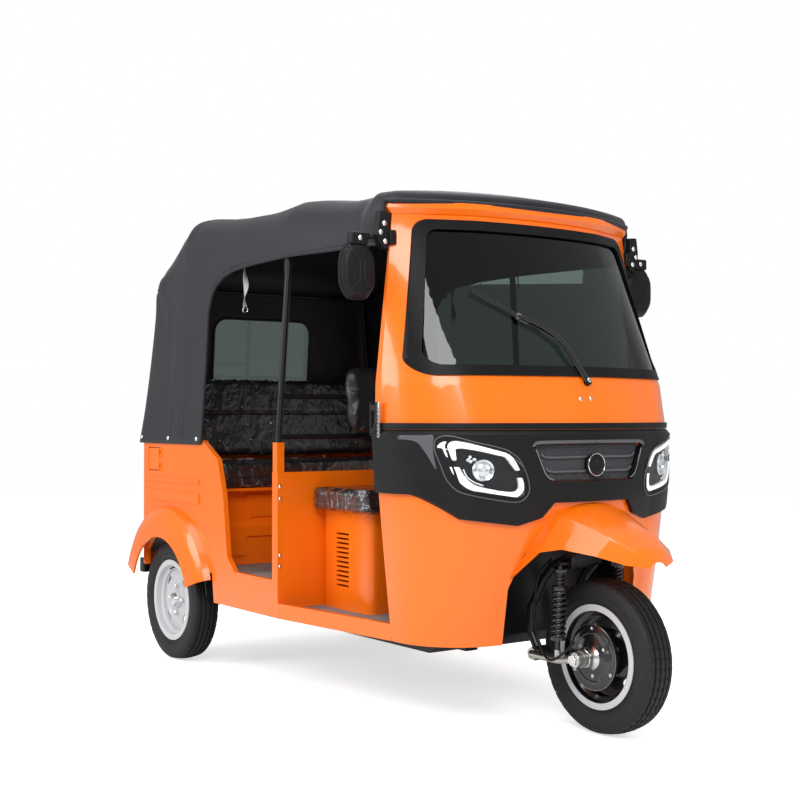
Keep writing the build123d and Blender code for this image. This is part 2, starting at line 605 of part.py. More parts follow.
with BuildPart() as rear_panel:
    with BuildSketch(Plane.XY.offset(PANEL_BOTTOM)):
        with BuildLine():
            FilletPolyline((-BODY_HALF, SIDE_END), (-BODY_HALF, BODY_REAR), (BODY_HALF, BODY_REAR),
                           (BODY_HALF, SIDE_END), radius=CORNER_RADIUS)
            Line((BODY_HALF, SIDE_END), (BODY_HALF - WALL, SIDE_END))
            FilletPolyline((BODY_HALF - WALL, SIDE_END), (BODY_HALF - WALL, BODY_REAR - WALL),
                           (-BODY_HALF + WALL, BODY_REAR - WALL), (-BODY_HALF + WALL, SIDE_END),
                           radius=CORNER_RADIUS - WALL)
            Line((-BODY_HALF + WALL, SIDE_END), (-BODY_HALF, SIDE_END))
        make_face()
    extrude(amount=BELT_Z - PANEL_BOTTOM)
    with BuildSketch(Plane.XZ.offset(-BODY_REAR - 10.0)):
        with Locations((0, sum(LID_Z) / 2)):
            RectangleRounded(2 * LID_HALF, LID_Z[1] - LID_Z[0], 30.0)
    extrude(amount=40.0, mode=Mode.SUBTRACT)
    for x in LID_HINGES:
        for low, high in ((x - 1.5 * LID_KNUCKLE, x - LID_KNUCKLE / 2 - KNUCKLE_PLAY),
                          (x + LID_KNUCKLE / 2 + KNUCKLE_PLAY, x + 1.5 * LID_KNUCKLE)):
            add(level_knuckle(low, high, 1))
        add(disc_x(x - 1.5 * LID_KNUCKLE, x + 1.5 * LID_KNUCKLE, *LID_AXIS, LID_PIN))
keep("rear_panel", rear_panel.part)

LID_THICK = 14.0
with BuildPart() as engine_lid:
    with BuildSketch(Plane.XZ.offset(-BODY_REAR)):
        with Locations((0, sum(LID_Z) / 2)):
            RectangleRounded(2 * (LID_HALF - GAP), LID_Z[1] - LID_Z[0] - 2 * GAP, 25.0)
    extrude(amount=LID_THICK)
    with BuildSketch(Plane.XZ.offset(-BODY_REAR + 5.0)):
        with GridLocations(0, 34.0, 1, 6):
            with Locations((0, sum(LID_Z) / 2)):
                SlotOverall(420.0, 14.0)
    extrude(amount=10.0, mode=Mode.SUBTRACT)
    for x in LID_HINGES:
        add(level_knuckle(x - LID_KNUCKLE / 2, x + LID_KNUCKLE / 2, -1, LID_PIN + RUNNING_GAP))
keep("engine_lid", engine_lid.part)

(flap_front, flap_back), (flap_low, flap_high) = FLAP
with BuildPart() as filler_flap:
    add(block((-BODY_HALF, -BODY_HALF + FLAP_THICK), (flap_front + GAP, flap_back - GAP - 2.0),
              (flap_low + GAP, flap_high - GAP)))
    for z in FLAP_HINGES:
        add(upright_knuckle(z, z + KNUCKLE_LENGTH, 1, FLAP_PIN + 0.3))
keep("filler_flap", filler_flap.part)

# rear fenders: a flared band turned about the rear axle, open below
FENDER_ARC = (20.0, 162.0)     # from the rear end round to the front end, degrees above the axle line
# columns: distance from the vehicle's middle, radius about the axle
FENDER_OUTER = ((BODY_HALF + 0.5, 398.0), (BODY_HALF + 26.0, 388.0), (BODY_HALF + 46.0, 352.0),
                (BODY_HALF + 55.0, 268.0))
FENDER_SHEET = 9.0
with BuildPart() as rear_fender:
    with BuildSketch(Plane(origin=(0, REAR_AXLE_Y, AXLE_Z), x_dir=(1, 0, 0), z_dir=(0, 0, 1))):
        with BuildLine():
            outer = list(FENDER_OUTER)
            inner = [(outer[-1][0] - FENDER_SHEET, outer[-1][1]),
                     (outer[-2][0] - FENDER_SHEET, outer[-2][1]),
                     (outer[1][0] - FENDER_SHEET / 2, outer[1][1] - FENDER_SHEET),
                     (outer[0][0], outer[0][1] - FENDER_SHEET)]
            Polyline(*(outer + inner), close=True)
        make_face()
    revolve(axis=Axis((0, REAR_AXLE_Y, AXLE_Z), (1, 0, 0)), revolution_arc=FENDER_ARC[1] - FENDER_ARC[0])
turned = rear_fender.part.rotate(Axis((0, REAR_AXLE_Y, AXLE_Z), (1, 0, 0)), FENDER_ARC[0])
keep("rear_fenders", with_mirror(turned))

# wheel houses inside the body: the arch over each wheel and the wall beside it
with BuildPart() as wheel_house:
    add(disc_x(HOUSE_INNER, WIDE, REAR_AXLE_Y, AXLE_Z, ARCH_RADIUS, ARCH_RADIUS - 6.0))
    add(disc_x(HOUSE_INNER, HOUSE_INNER + 6.0, REAR_AXLE_Y, AXLE_Z, ARCH_RADIUS))
    add(block((HOUSE_INNER - 10.0, BODY_HALF), (REAR_AXLE_Y - 400.0, REAR_AXLE_Y + 400.0), (-100.0, 300.0)),
        mode=Mode.SUBTRACT)
    add(block((HOUSE_INNER - 10.0, BODY_HALF), (SIDE_END - 1.0, BODY_REAR + 50.0), (0.0, BELT_Z)),
        mode=Mode.SUBTRACT)
keep("wheel_houses", with_mirror(wheel_house.part))

# bumper across the tail, on two stays
BUMPER_Z = (330.0, 392.0)
with BuildPart() as rear_bumper:
    add(block((-BODY_HALF + 40.0, BODY_HALF - 40.0), (BODY_REAR + 44.0, REAR_AXLE_Y + REAR_OVERHANG),
              BUMPER_Z, 10.0))
    for side in (-1, 1):
        stay = (side * RAIL_HALF - 20.0, side * RAIL_HALF + 20.0)
        add(block(stay, (CHASSIS_REAR, BODY_REAR + 50.0), (340.0, 372.0)))
        add(block(stay, (CHASSIS_REAR - 40.0, CHASSIS_REAR + 10.0), (RAIL_BOTTOM + RAIL_SIZE, 372.0)))
keep("rear_bumper", rear_bumper.part)

tail_lamp = block((BODY_HALF - 160.0, BODY_HALF - 60.0), (BODY_REAR, BODY_REAR + 22.0), (590.0, 720.0), 8.0)
keep("tail_lamps", with_mirror(tail_lamp))

# ---------------------------------------------------------------- seats
SEAT_BASE_HALF = 410.0
LOUVRE_Y = 945.0               # middle of the column of slots in each side of the driver's box
LOUVRE_Z = (408.0, 596.0)
LOUVRE_COUNT = 12
LOUVRE_SIZE = (84.0, 7.0)
with BuildPart() as driver_seat_base:
    add(block((-SEAT_BASE_HALF, SEAT_BASE_HALF), (765.0, PARTITION_Y - 1.0), (DRIVER_FLOOR_Z, 682.0), 35.0))
    add(block((-SEAT_BASE_HALF + 12.0, SEAT_BASE_HALF - 12.0), (777.0, PARTITION_Y - 13.0),
              (DRIVER_FLOOR_Z - 1.0, 670.0), 24.0), mode=Mode.SUBTRACT)
    with BuildSketch(Plane.YZ.offset(-SEAT_BASE_HALF - 1.0)):
        with Locations((LOUVRE_Y, sum(LOUVRE_Z) / 2)):
            with GridLocations(0.0, (LOUVRE_Z[1] - LOUVRE_Z[0]) / (LOUVRE_COUNT - 1), 1, LOUVRE_COUNT):
                SlotOverall(*LOUVRE_SIZE)
    extrude(amount=2 * SEAT_BASE_HALF + 2.0, mode=Mode.SUBTRACT)
keep("driver_seat_base", driver_seat_base.part)
keep("driver_cushion", block((-SEAT_BASE_HALF - 70.0, SEAT_BASE_HALF + 70.0), (700.0, PARTITION_Y - 4.0),
                             (684.0, 762.0), 30.0))


def back_cushion(half, low, high, front, lean, thickness):
    """Upright pad that leans back, with rounded upper corners."""
    facing = (0, -cos(radians(lean)), sin(radians(lean)))
    plane = Plane(origin=(0, front, low), x_dir=(1, 0, 0), z_dir=facing)
    with BuildPart() as pad:
        with BuildSketch(plane):
            with Locations((0, (high - low) / 2)):
                RectangleRounded(2 * half, high - low, 60.0)
        extrude(amount=-thickness)
    return pad.part


keep("driver_backrest", back_cushion(335.0, 962.0, 1228.0, 1000.0, 8.0, 48.0))
keep("passenger_cushion", block((-BODY_HALF + 60.0, BODY_HALF - 60.0), (1665.0, 2040.0), (732.0, 838.0),
                                30.0))
keep("passenger_backrest", back_cushion(BODY_HALF - 65.0, 842.0, 1215.0, 2052.0, 12.0, 70.0))

# bench front: the lower half stands forward of the upper one, and both carry a pressed pad
BENCH_TOP = 718.0
BENCH_STEP = 25.0
PAD_PROUD = 8.0
PAD_LOWER = [(BODY_HALF - 112.0, 567.0), (BODY_HALF - 140.0, 450.0), (BODY_HALF - 205.0, 450.0),
             (BODY_HALF - 212.0, 528.0)]
PAD_UPPER = [(BODY_HALF - 225.0, 700.0), (BODY_HALF - 250.0, 606.0)]


def front_pad(points, face, depth):
    """Raised pad on a wall that faces forward; its outline (x, z) is given for the left half."""
    with BuildPart() as pad:
        with BuildSketch(Plane.XZ.offset(-face)):
            with BuildLine():
                Polyline(*both_sides(points), close=True)
            make_face()
            fillet(vertices(), 6.0)
        extrude(amount=PAD_PROUD)
        with BuildSketch(Plane.XZ.offset(-face)):
            with BuildLine():
                Polyline(*both_sides(points), close=True)
            make_face()
        extrude(amount=-depth)
    return pad.part


with BuildPart() as passenger_seat_panel:
    add(side_prism([(SEAT_PANEL_Y + 12.0, CABIN_FLOOR_Z - FLOOR_SHEET),
                    (SEAT_PANEL_Y, CABIN_FLOOR_Z - FLOOR_SHEET), (SEAT_PANEL_Y, CABIN_FLOOR_Z + 1.0),
                    (SEAT_PANEL_Y - BENCH_STEP, CABIN_FLOOR_Z + 1.0), (SEAT_PANEL_Y - BENCH_STEP, 570.0),
                    (SEAT_PANEL_Y, 596.0), (SEAT_PANEL_Y, BENCH_TOP), (SEAT_PANEL_Y + 12.0, BENCH_TOP)],
                   -WIDE, WIDE))
    add(front_pad(PAD_LOWER, SEAT_PANEL_Y - BENCH_STEP, 4.0))
    add(front_pad(PAD_UPPER, SEAT_PANEL_Y, 4.0))
    add(block((-WIDE, WIDE), (1690.0, SIDE_END - 6.0), (BENCH_TOP, BENCH_TOP + 12.0)))
    add(house_room.part, mode=Mode.SUBTRACT)
keep("passenger_seat_panel", passenger_seat_panel.part)

# ---------------------------------------------------------------- hood: frame, cover and rear window
# Cross-sections of the hood at its stations: the side runs from the hem up to `side`, an arc turns
# over to `roof`, and the roof's arc passes the crown.
# Roof, side and hem are given by how far they stand outside the body side.
# columns: y, crown z, roof out, roof z, side out, side z, hem out
HOOD_SECTIONS = ((290.0, 1768.0, -195.0, 1748.0, -100.0, 1700.0, -40.0),
                 (450.0, 1806.0, -170.0, 1784.0, -72.0, 1716.0, -15.0),
                 (600.0, 1818.0, -160.0, 1794.0, -54.0, 1716.0, 2.0),
                 (1100.0, 1858.0, -150.0, 1834.0, -40.0, 1720.0, 7.0),
                 (1550.0, 1857.0, -150.0, 1834.0, -38.0, 1715.0, 10.0),
                 (1920.0, 1884.0, -148.0, 1862.0, -38.0, 1725.0, 12.0),
                 (2250.0, 1690.0, -160.0, 1672.0, -48.0, 1606.0, 12.0),
                 (2350.0, 1620.0, -170.0, 1600.0, -52.0, 1540.0, 12.0))
HOOD_HEM = BELT_Z - 16.0       # the hood laps over the body sides
HOOD_SHEET = 8.0
HOOD_FRONT_TOP = PEAK_LEVELS[-1][0] + 1.0
HOOD_OPENING = [(200.0, 880.0), (200.0, 1604.0), (1080.0, 1620.0), (1500.0, 1610.0), (DOOR_REAR, 1520.0),
                (DOOR_REAR, 880.0)]
HOOD_BACK = (BODY_REAR + 16.0, BODY_REAR - 50.0)   # y of the hood's back at its foot and at its top
HOOD_REAR = [(200.0, 900.0), (HOOD_BACK[0], 900.0), (HOOD_BACK[1], 1607.0), (HOOD_BACK[1] - 18.0, 1720.0),
             (1920.0, 1900.0), (200.0, 1900.0)]
HOOD_PAST = BODY_HALF + 100.0  # half width of what trims the hood
REAR_WINDOW = (255.0, 1150.0, 1476.0, 60.0)    # half width, bottom, top, corner radius
WINDOW_IN = 3.0                # the film lies this far inside the hood's outer face
WINDOW_FILM = 3.0


def hood_section(y, crown, roof_out, roof_z, side_out, side_z, hem_out, inset):
    """Closed cross-section of the hood, moved in by inset."""
    roof_x, side_x, hem_x = BODY_HALF + roof_out, BODY_HALF + side_out, BODY_HALF + hem_out
    turn = Vector((roof_x + side_x) / 2, (roof_z + side_z) / 2) + Vector(14.0, 18.0)
    drop = inset / 2 ** 0.5
    with BuildSketch(Plane.XZ.offset(-y)) as section:
        with BuildLine():
            roof = (roof_x - inset * 0.2, roof_z - inset)
            side = (side_x - inset, side_z - inset * 0.2)
            corner = (turn.X - drop, turn.Y - drop)
            ThreePointArc((-roof[0], roof[1]), (0, crown - inset), roof)
            ThreePointArc(roof, corner, side)
            Line(side, (hem_x - inset, HOOD_HEM))
            Line((hem_x - inset, HOOD_HEM), (-hem_x + inset, HOOD_HEM))
            Line((-hem_x + inset, HOOD_HEM), (-side[0], side[1]))
            ThreePointArc((-side[0], side[1]), (-corner[0], corner[1]), (-roof[0], roof[1]))
        make_face()
    return section.sketch


def hood_solid(inset):
    """Solid under the hood's outer face, trimmed at the front, the tail and the sloping back."""
    with BuildPart() as solid:
        for row in HOOD_SECTIONS:
            add(hood_section(*row, inset))
        loft(ruled=True)
        _, nose, _, _, _, _, cheek_x, cheek_y = level_at(SURROUND_TOP)
        reach = PEAK_LEVELS[1][1] + 2.0 + inset
        with BuildSketch(Plane.XY.offset(800.0)):
            with BuildLine():
                ThreePointArc((-cheek_x, cheek_y + reach), (0, nose + reach), (cheek_x, cheek_y + reach))
                Polyline((cheek_x, cheek_y + reach), (HOOD_PAST, cheek_y + reach),
                         (HOOD_PAST, BODY_REAR + 200.0), (-HOOD_PAST, BODY_REAR + 200.0),
                         (-HOOD_PAST, cheek_y + reach), (-cheek_x, cheek_y + reach))
            make_face()
        extrude(amount=1200.0, mode=Mode.INTERSECT)
        add(side_prism([(y - (inset if y > 2000.0 else 0.0), z - (inset if z > 1600.0 else 0.0))
                        for y, z in HOOD_REAR], -HOOD_PAST, HOOD_PAST), mode=Mode.INTERSECT)
    return solid.part


with BuildPart() as canopy:
    add(hood_solid(0.0))
    add(hood_solid(HOOD_SHEET), mode=Mode.SUBTRACT)
    with BuildSketch(Plane.YZ.offset(-HOOD_PAST)):
        with BuildLine():
            Polyline(*HOOD_OPENING, close=True)
        make_face()
        fillet(vertices().sort_by(Axis.X)[-2:].sort_by(Axis.Y)[-1], 110.0)
    extrude(amount=2 * HOOD_PAST, mode=Mode.SUBTRACT)
    add(block((-HOOD_PAST, HOOD_PAST), (200.0, PEAK_REAR + 2.0), (1500.0, HOOD_FRONT_TOP)),
        mode=Mode.SUBTRACT)
    with BuildSketch(Plane.XZ.offset(-2200.0)):
        with Locations((0, (REAR_WINDOW[1] + REAR_WINDOW[2]) / 2)):
            RectangleRounded(2 * REAR_WINDOW[0], REAR_WINDOW[2] - REAR_WINDOW[1], REAR_WINDOW[3])
    extrude(amount=-200.0, mode=Mode.SUBTRACT)
keep("canopy", canopy.part)

with BuildPart() as rear_window:
    add(side_prism([(HOOD_BACK[0] - WINDOW_IN, 900.0), (HOOD_BACK[1] - WINDOW_IN, 1607.0),
                    (HOOD_BACK[1] - WINDOW_IN - WINDOW_FILM, 1607.0),
                    (HOOD_BACK[0] - WINDOW_IN - WINDOW_FILM, 900.0)], -400.0, 400.0))
    with BuildSketch(Plane.XZ.offset(-2200.0)):
        with Locations((0, (REAR_WINDOW[1] + REAR_WINDOW[2]) / 2)):
            RectangleRounded(2 * REAR_WINDOW[0], REAR_WINDOW[2] - REAR_WINDOW[1], REAR_WINDOW[3])
    extrude(amount=-200.0, mode=Mode.INTERSECT)
keep("rear_window", rear_window.part)

# frame of the hood: two poles, three bows, two side rails, two rails behind the driver
POLE_Y = 1110.0
TUBE_RADIUS = 12.5
HOOD_CLEAR = HOOD_SHEET + TUBE_RADIUS + 4.0


def bow(y, foot_x):
    """Tube that follows the hood's section at a station from one foot on the belt to the other."""
    _, crown, roof_out, roof_z, side_out, side_z, _ = between(HOOD_SECTIONS, y)
    points = [(foot_x, y, BELT_Z + 1.0), (BODY_HALF + side_out - HOOD_CLEAR, y, side_z - HOOD_CLEAR),
              (BODY_HALF + roof_out - HOOD_CLEAR, y, roof_z - HOOD_CLEAR), (0, y, crown - HOOD_CLEAR)]
    return tube_run(points + [(-x, y, z) for x, y, z in reversed(points[:-1])], TUBE_RADIUS)


SIDE_RAIL_RADIUS = 10.0
# columns: y, how far inside the body side, z
SIDE_RAIL = ((POST_REAR + 6.0, 100.0, 1640.0), (700.0, 65.0, 1645.0), (POLE_Y, 59.0, 1645.0),
             (1920.0, 59.0, 1645.0), (2215.0, 80.0, 1590.0), (2222.0, 11.0, BELT_Z + 1.0))
POLE_RAILS = (950.0, 1100.0)   # z of the rails across the poles
with BuildPart() as hood_frame:
    add(bow(POLE_Y, BODY_HALF - STUB_HALF))
    add(bow(1920.0, BODY_HALF - 12.0))
    for side in (-1, 1):
        add(tube_run([(side * (BODY_HALF - inward), y, z) for y, inward, z in SIDE_RAIL], SIDE_RAIL_RADIUS))
    for rail_z in POLE_RAILS:
        add(tube_run([(-BODY_HALF + 22.0, POLE_Y, rail_z), (BODY_HALF - 22.0, POLE_Y, rail_z)],
                     SIDE_RAIL_RADIUS))
    add(tube_run([(-BODY_HALF + 81.0, 2215.0, 1590.0), (BODY_HALF - 81.0, 2215.0, 1590.0)],
                 SIDE_RAIL_RADIUS - 2.0))
keep("hood_frame", hood_frame.part)

STRAP_X = BODY_HALF - 82.0
grab_strap = block((STRAP_X - 3.0, STRAP_X + 3.0), (1478.0, 1500.0), (1440.0, 1630.0), 2.0)
keep("grab_straps", with_mirror(grab_strap))

# ---------------------------------------------------------------- inside the nose
WELL_HALF = ARCH_HALF - 2.0
WELL_SHEET = 7.0
with BuildPart() as wheel_well:
    add(block((-WELL_HALF, WELL_HALF), (205.0, WELL_REAR), (BODY_BOTTOM, WELL_TOP)))
    add(block((-WELL_HALF + WELL_SHEET, WELL_HALF - WELL_SHEET), (150.0, WELL_REAR - WELL_SHEET),
              (BODY_BOTTOM - 1.0, WELL_TOP - WELL_SHEET)), mode=Mode.SUBTRACT)
    with BuildSketch(neck_plane.offset(-60.0)):
        Circle(STEM_RADIUS + 9.0)
    extrude(amount=120.0, mode=Mode.SUBTRACT)
    add(chassis_frame.part, mode=Mode.SUBTRACT)
keep("wheel_well", wheel_well.part)

DASH_Z = (905.0, 1010.0)
DASH_DEPTH = 130.0
with BuildPart() as dashboard:
    add(nose_solid(*DASH_Z, WALL + 1.0, POST_REAR - 10.0))
    add(nose_solid(*DASH_Z, DASH_DEPTH, POST_REAR + NOSE_PAST), mode=Mode.SUBTRACT)
    add(block((-80.0, 80.0), (190.0, 240.0), (DASH_Z[1] - 10.0, DASH_Z[1] + 60.0), 12.0))
keep("dashboard", dashboard.part)

# ---------------------------------------------------------------- wiper and mirrors
WIPER_PIVOT = (8.0, 96.0, 1141.0)
WIPER_ELBOW = (-66.0, 142.0, 1273.0)
WIPER_BLADE = ((-353.0, 258.0, 1438.0), (-53.0, 136.0, 1268.0))
with BuildPart() as wiper:
    pivot_x, pivot_y, pivot_z = WIPER_PIVOT
    with BuildSketch(Plane(origin=(pivot_x, pivot_y - 1.0, pivot_z), z_dir=(0, -1, 0.2))):
        Circle(13.0)
    extrude(amount=18.0)
    add(tube_run([(pivot_x, pivot_y - 12.0, pivot_z), WIPER_ELBOW, (-190.0, 188.0, 1352.0)], 5.5))
    add(tube_run(list(WIPER_BLADE), 6.5))
keep("wiper", wiper.part)

MIRROR_HEAD = ((BODY_HALF - 22.0, BODY_HALF + 112.0), (462.0, 512.0), (1408.0, 1600.0))    # x, y, z
ARM_Z = 1618.0
(head_inner, head_outer), (head_front, head_back), (head_low, head_high) = MIRROR_HEAD
with BuildPart() as mirror_unit:
    with BuildSketch(Plane.XZ.offset(-head_front)):
        with Locations(((head_inner + head_outer) / 2, (head_low + head_high) / 2)):
            RectangleRounded(head_outer - head_inner, head_high - head_low, 30.0)
    extrude(amount=-(head_back - head_front))
    add(block((BODY_HALF + 12.0, BODY_HALF + 82.0), (470.0, 506.0), (1595.0, 1632.0), 8.0))
    add(tube_run([(BODY_HALF - 52.0, 452.0, ARM_Z), (BODY_HALF + 25.0, 486.0, ARM_Z)], 9.0))
    add(block((BODY_HALF - 72.0, BODY_HALF - 46.0), (430.0, 472.0), (1592.0, 1642.0)))
    add(nose_solid(BELT_GROOVE[1], SURROUND_TOP, 0.0, POST_REAR + NOSE_PAST), mode=Mode.SUBTRACT)
keep("mirrors", with_mirror(mirror_unit.part))

# hinge brackets on the rear edge of each front post
BRACKET_Z = (958.0, 1077.0)
with BuildPart() as post_bracket:
    add(block((BODY_HALF - 24.0, BODY_HALF - 6.0), (POST_REAR + 0.3, POST_REAR + 4.3), BRACKET_Z))
    for z in (BRACKET_Z[0] + 22.0, BRACKET_Z[1] - 22.0):
        add(block((BODY_HALF - 20.0, BODY_HALF - 10.0), (POST_REAR + 4.0, POST_REAR + 40.0),
                  (z - 9.0, z + 9.0)))
    with BuildSketch(Plane.XY.offset(BRACKET_Z[0] + 4.0)):
        with Locations((BODY_HALF - 15.0, POST_REAR + 38.0)):
            Circle(6.0)
    extrude(amount=BRACKET_Z[1] - BRACKET_Z[0] - 8.0)
keep("post_brackets", with_mirror(post_bracket.part))

# ---------------------------------------------------------------- wheels
TREAD_HALF = 46.0
# tyre outline: (distance from the wheel's middle plane, radius)
TYRE_BEAD = 152.0
WIDEST = 212.0
RIM_SEAT = 150.0
RIM_SHEET = 4.0


def tyre(x, y):
    """Tyre about an axle along X, middle plane at x."""
    half = TYRE_WIDTH / 2
    bead = RIM_WIDTH / 2 - RIM_SHEET - 0.5
    with BuildPart() as ring:
        with BuildSketch(Plane(origin=(x, y, AXLE_Z), x_dir=(1, 0, 0), z_dir=(0, -1, 0))):
            with BuildLine():
                shoulder_z = TYRE_RADIUS - 6.0
                ThreePointArc((-TREAD_HALF, shoulder_z), (0, TYRE_RADIUS), (TREAD_HALF, shoulder_z))
                ThreePointArc((TREAD_HALF, shoulder_z), (half, WIDEST), (bead, RIM_RADIUS + 3.0))
                Polyline((bead, RIM_RADIUS + 3.0), (bead, TYRE_BEAD), (-bead, TYRE_BEAD),
                         (-bead, RIM_RADIUS + 3.0))
                ThreePointArc((-bead, RIM_RADIUS + 3.0), (-half, WIDEST), (-TREAD_HALF, shoulder_z))
            make_face()
        revolve(axis=Axis((x, y, AXLE_Z), (1, 0, 0)))
    return ring.part


LUG_COUNT = 4
LUG_CIRCLE = 55.0
LUG_RADIUS = 9.0
VENT_CIRCLE = 105.0
HUB_RADIUS = 42.0


def rim(x, y, face):
    """Pressed steel wheel: rim, disc with vents, hub and lug nuts; face is the disc's side, 1 or -1."""
    half = RIM_WIDTH / 2
    dish = face * 10.0
    outline = [(-half, RIM_RADIUS), (-half + RIM_SHEET, RIM_RADIUS), (-half + RIM_SHEET, RIM_SEAT),
               (-half + 22.0, RIM_SEAT - 2.0), (-half + 28.0, 134.0), (half - 28.0, 134.0),
               (half - 22.0, RIM_SEAT - 2.0), (half - RIM_SHEET, RIM_SEAT), (half - RIM_SHEET, RIM_RADIUS),
               (half, RIM_RADIUS), (half, RIM_SEAT - 4.0), (half - 19.0, RIM_SEAT - 6.0),
               (half - 25.0, 130.0), (-half + 25.0, 130.0), (-half + 19.0, RIM_SEAT - 6.0),
               (-half, RIM_SEAT - 4.0)]
    disc = [(dish - 3.0, 132.0), (dish + 3.0, 132.0), (dish + face * 14.0 + 3.0, 84.0),
            (dish + face * 4.0 + 3.0, 66.0), (dish + face * 4.0 + 3.0, 20.0),
            (dish + face * 4.0 - 3.0, 20.0), (dish + face * 4.0 - 3.0, 68.0),
            (dish + face * 14.0 - 3.0, 86.0)]
    hub = [(-face * 44.0, HUB_BORE), (-face * 44.0, HUB_RADIUS), (dish, HUB_RADIUS),
           (dish + face * 22.0, HUB_RADIUS - 8.0), (dish + face * 22.0, HUB_BORE)]
    with BuildPart() as wheel:
        for profile in (outline, disc, hub):
            with BuildSketch(Plane(origin=(x, y, AXLE_Z), x_dir=(1, 0, 0), z_dir=(0, -1, 0))):
                with BuildLine():
                    Polyline(*profile, close=True)
                make_face()
            revolve(axis=Axis((x, y, AXLE_Z), (1, 0, 0)))
        lug_plane = Plane(origin=(x + dish + face * 4.0, y, AXLE_Z), x_dir=(0, 1, 0), z_dir=(face, 0, 0))
        with BuildSketch(lug_plane):
            with PolarLocations(LUG_CIRCLE, LUG_COUNT):
                RegularPolygon(LUG_RADIUS, 6)
        extrude(amount=14.0)
        with BuildSketch(lug_plane.offset(-20.0)):
            with PolarLocations(VENT_CIRCLE, LUG_COUNT, start_angle=45.0):
                SlotOverall(44.0, 22.0, rotation=90.0)
        extrude(amount=60.0, mode=Mode.SUBTRACT)
    return wheel.part


for side_name, side in SIDES:
    keep(f"rear_tyre_{side_name}", tyre(side * TRACK / 2, REAR_AXLE_Y))
    keep(f"rear_rim_{side_name}", rim(side * TRACK / 2, REAR_AXLE_Y, side))
keep("front_tyre", tyre(0.0, 0.0))
keep("front_rim", rim(0.0, 0.0, 1))

# ---------------------------------------------------------------- steering and front suspension
LEG_HALF = 92.0                # middle of each fork leg from the wheel's middle
LINK_PIVOT = (222.0, 236.0)    # y and z of the leading link's pivot
SHOCK_X = LEG_HALF + 37.0     # middle of each damper
SHOCK_TOP = (78.0, 548.0)
SHOCK_FOOT = (92.0, 268.0)
CROWN_Z = 555.0
CROWN_SIZE = (224.0, 150.0)    # width and length of the plate that joins the legs
CROWN_FORWARD = 22.0           # its middle is this far ahead of the stem
CROWN_THICK = 18.0
BAR_Z = 1075.0
BAR_HALF = 330.0
crown_plane = Plane(origin=on_steer_axis(CROWN_Z), x_dir=(1, 0, 0), z_dir=STEER_AXIS)

with BuildPart() as steering_column:
    with BuildSketch(crown_plane):
        Circle(STEM_RADIUS)
    extrude(amount=(BAR_Z - CROWN_Z) / STEER_AXIS.Z)
    with BuildSketch(neck_plane.offset(NECK_LENGTH + GAP)):
        Circle(NECK_RADIUS)
    extrude(amount=18.0)
    head = on_steer_axis(BAR_Z)
    add(tube_run([(-BAR_HALF, head.Y + 78.0, BAR_Z + 6.0), (-170.0, head.Y + 22.0, BAR_Z + 2.0),
                  (-60.0, head.Y, BAR_Z), (60.0, head.Y, BAR_Z), (170.0, head.Y + 22.0, BAR_Z + 2.0),
                  (BAR_HALF, head.Y + 78.0, BAR_Z + 6.0)], 11.5))
    add(block((-55.0, 55.0), (head.Y - 40.0, head.Y + 28.0), (BAR_Z - 16.0, BAR_Z + 34.0), 14.0))
    for end in (-1, 1):
        add(tube_run([(end * 215.0, head.Y + 38.9, BAR_Z + 3.2),
                      (end * BAR_HALF, head.Y + 78.0, BAR_Z + 6.0)], 17.0))
keep("steering_column", steering_column.part)

EAR = ((84.0, 98.0), ((56.0, 572.0), (112.0, 545.0), (98.0, 530.0), (62.0, 530.0)))    # x, (y, z) outline
with BuildPart() as front_fork:
    with BuildSketch(crown_plane.offset(-CROWN_THICK)):
        with Locations((0, -CROWN_FORWARD)):
            RectangleRounded(*CROWN_SIZE, 30.0)
    extrude(amount=CROWN_THICK)
    for side in (-1, 1):
        x = side * LEG_HALF
        add(tube_run([(x, on_steer_axis(CROWN_Z).Y + 20.0, CROWN_Z - 20.0), (x, 196.0, 490.0),
                      (x, 262.0, 380.0), (x, 262.0, 300.0), (x, *LINK_PIVOT)], 16.0))
        add(disc_x(x - 22.0, x + 22.0, *LINK_PIVOT, 24.0))
        (inner, outer), outline = EAR
        add(side_prism(outline, side * inner, side * outer))
keep("front_fork", front_fork.part)

with BuildPart() as front_links:
    for side in (-1, 1):
        x = side * (LEG_HALF + 37.0)
        add(tube_run([(x, *LINK_PIVOT), (x, SHOCK_FOOT[0], LINK_PIVOT[1]), (x, 0.0, AXLE_Z)], 13.0))
        add(tube_run([(x, SHOCK_FOOT[0], LINK_PIVOT[1] + 4.0), (x, *SHOCK_FOOT)], 11.0))
        add(disc_x(min(x, side * (LEG_HALF + 22.5)), max(x, side * (LEG_HALF + 22.5)), *LINK_PIVOT, 20.0))
        add(disc_x(x - 12.0, x + 12.0, 0.0, AXLE_Z, 24.0))
    add(disc_x(-(LEG_HALF + 49.0), LEG_HALF + 49.0, 0.0, AXLE_Z, HUB_BORE - RUNNING_GAP))
    add(disc_x(-(LEG_HALF + 24.0), -53.0, 0.0, AXLE_Z, 26.0, HUB_BORE - RUNNING_GAP))
    add(disc_x(-62.0, -53.0, 0.0, AXLE_Z, 106.0, 26.0))
keep("front_links", front_links.part)

# coil-over dampers: eyes, rod, body, three spring seats and two springs
ROD_RADIUS = 8.0
BODY_RADIUS = 14.0
EYE_RADIUS = 9.0
SEAT_RADIUS = 27.0
# columns: share of the run where it starts and ends, radius
SEATS = ((0.06, 0.10, 20.0), (0.26, 0.30, SEAT_RADIUS), (0.84, 0.88, SEAT_RADIUS))
# columns: share of the run where it starts and ends, coil radius, wire radius, turns
SPRINGS = ((0.09, 0.27, 14.5, 3.2, 4), (0.29, 0.85, 20.5, 5.4, 9))


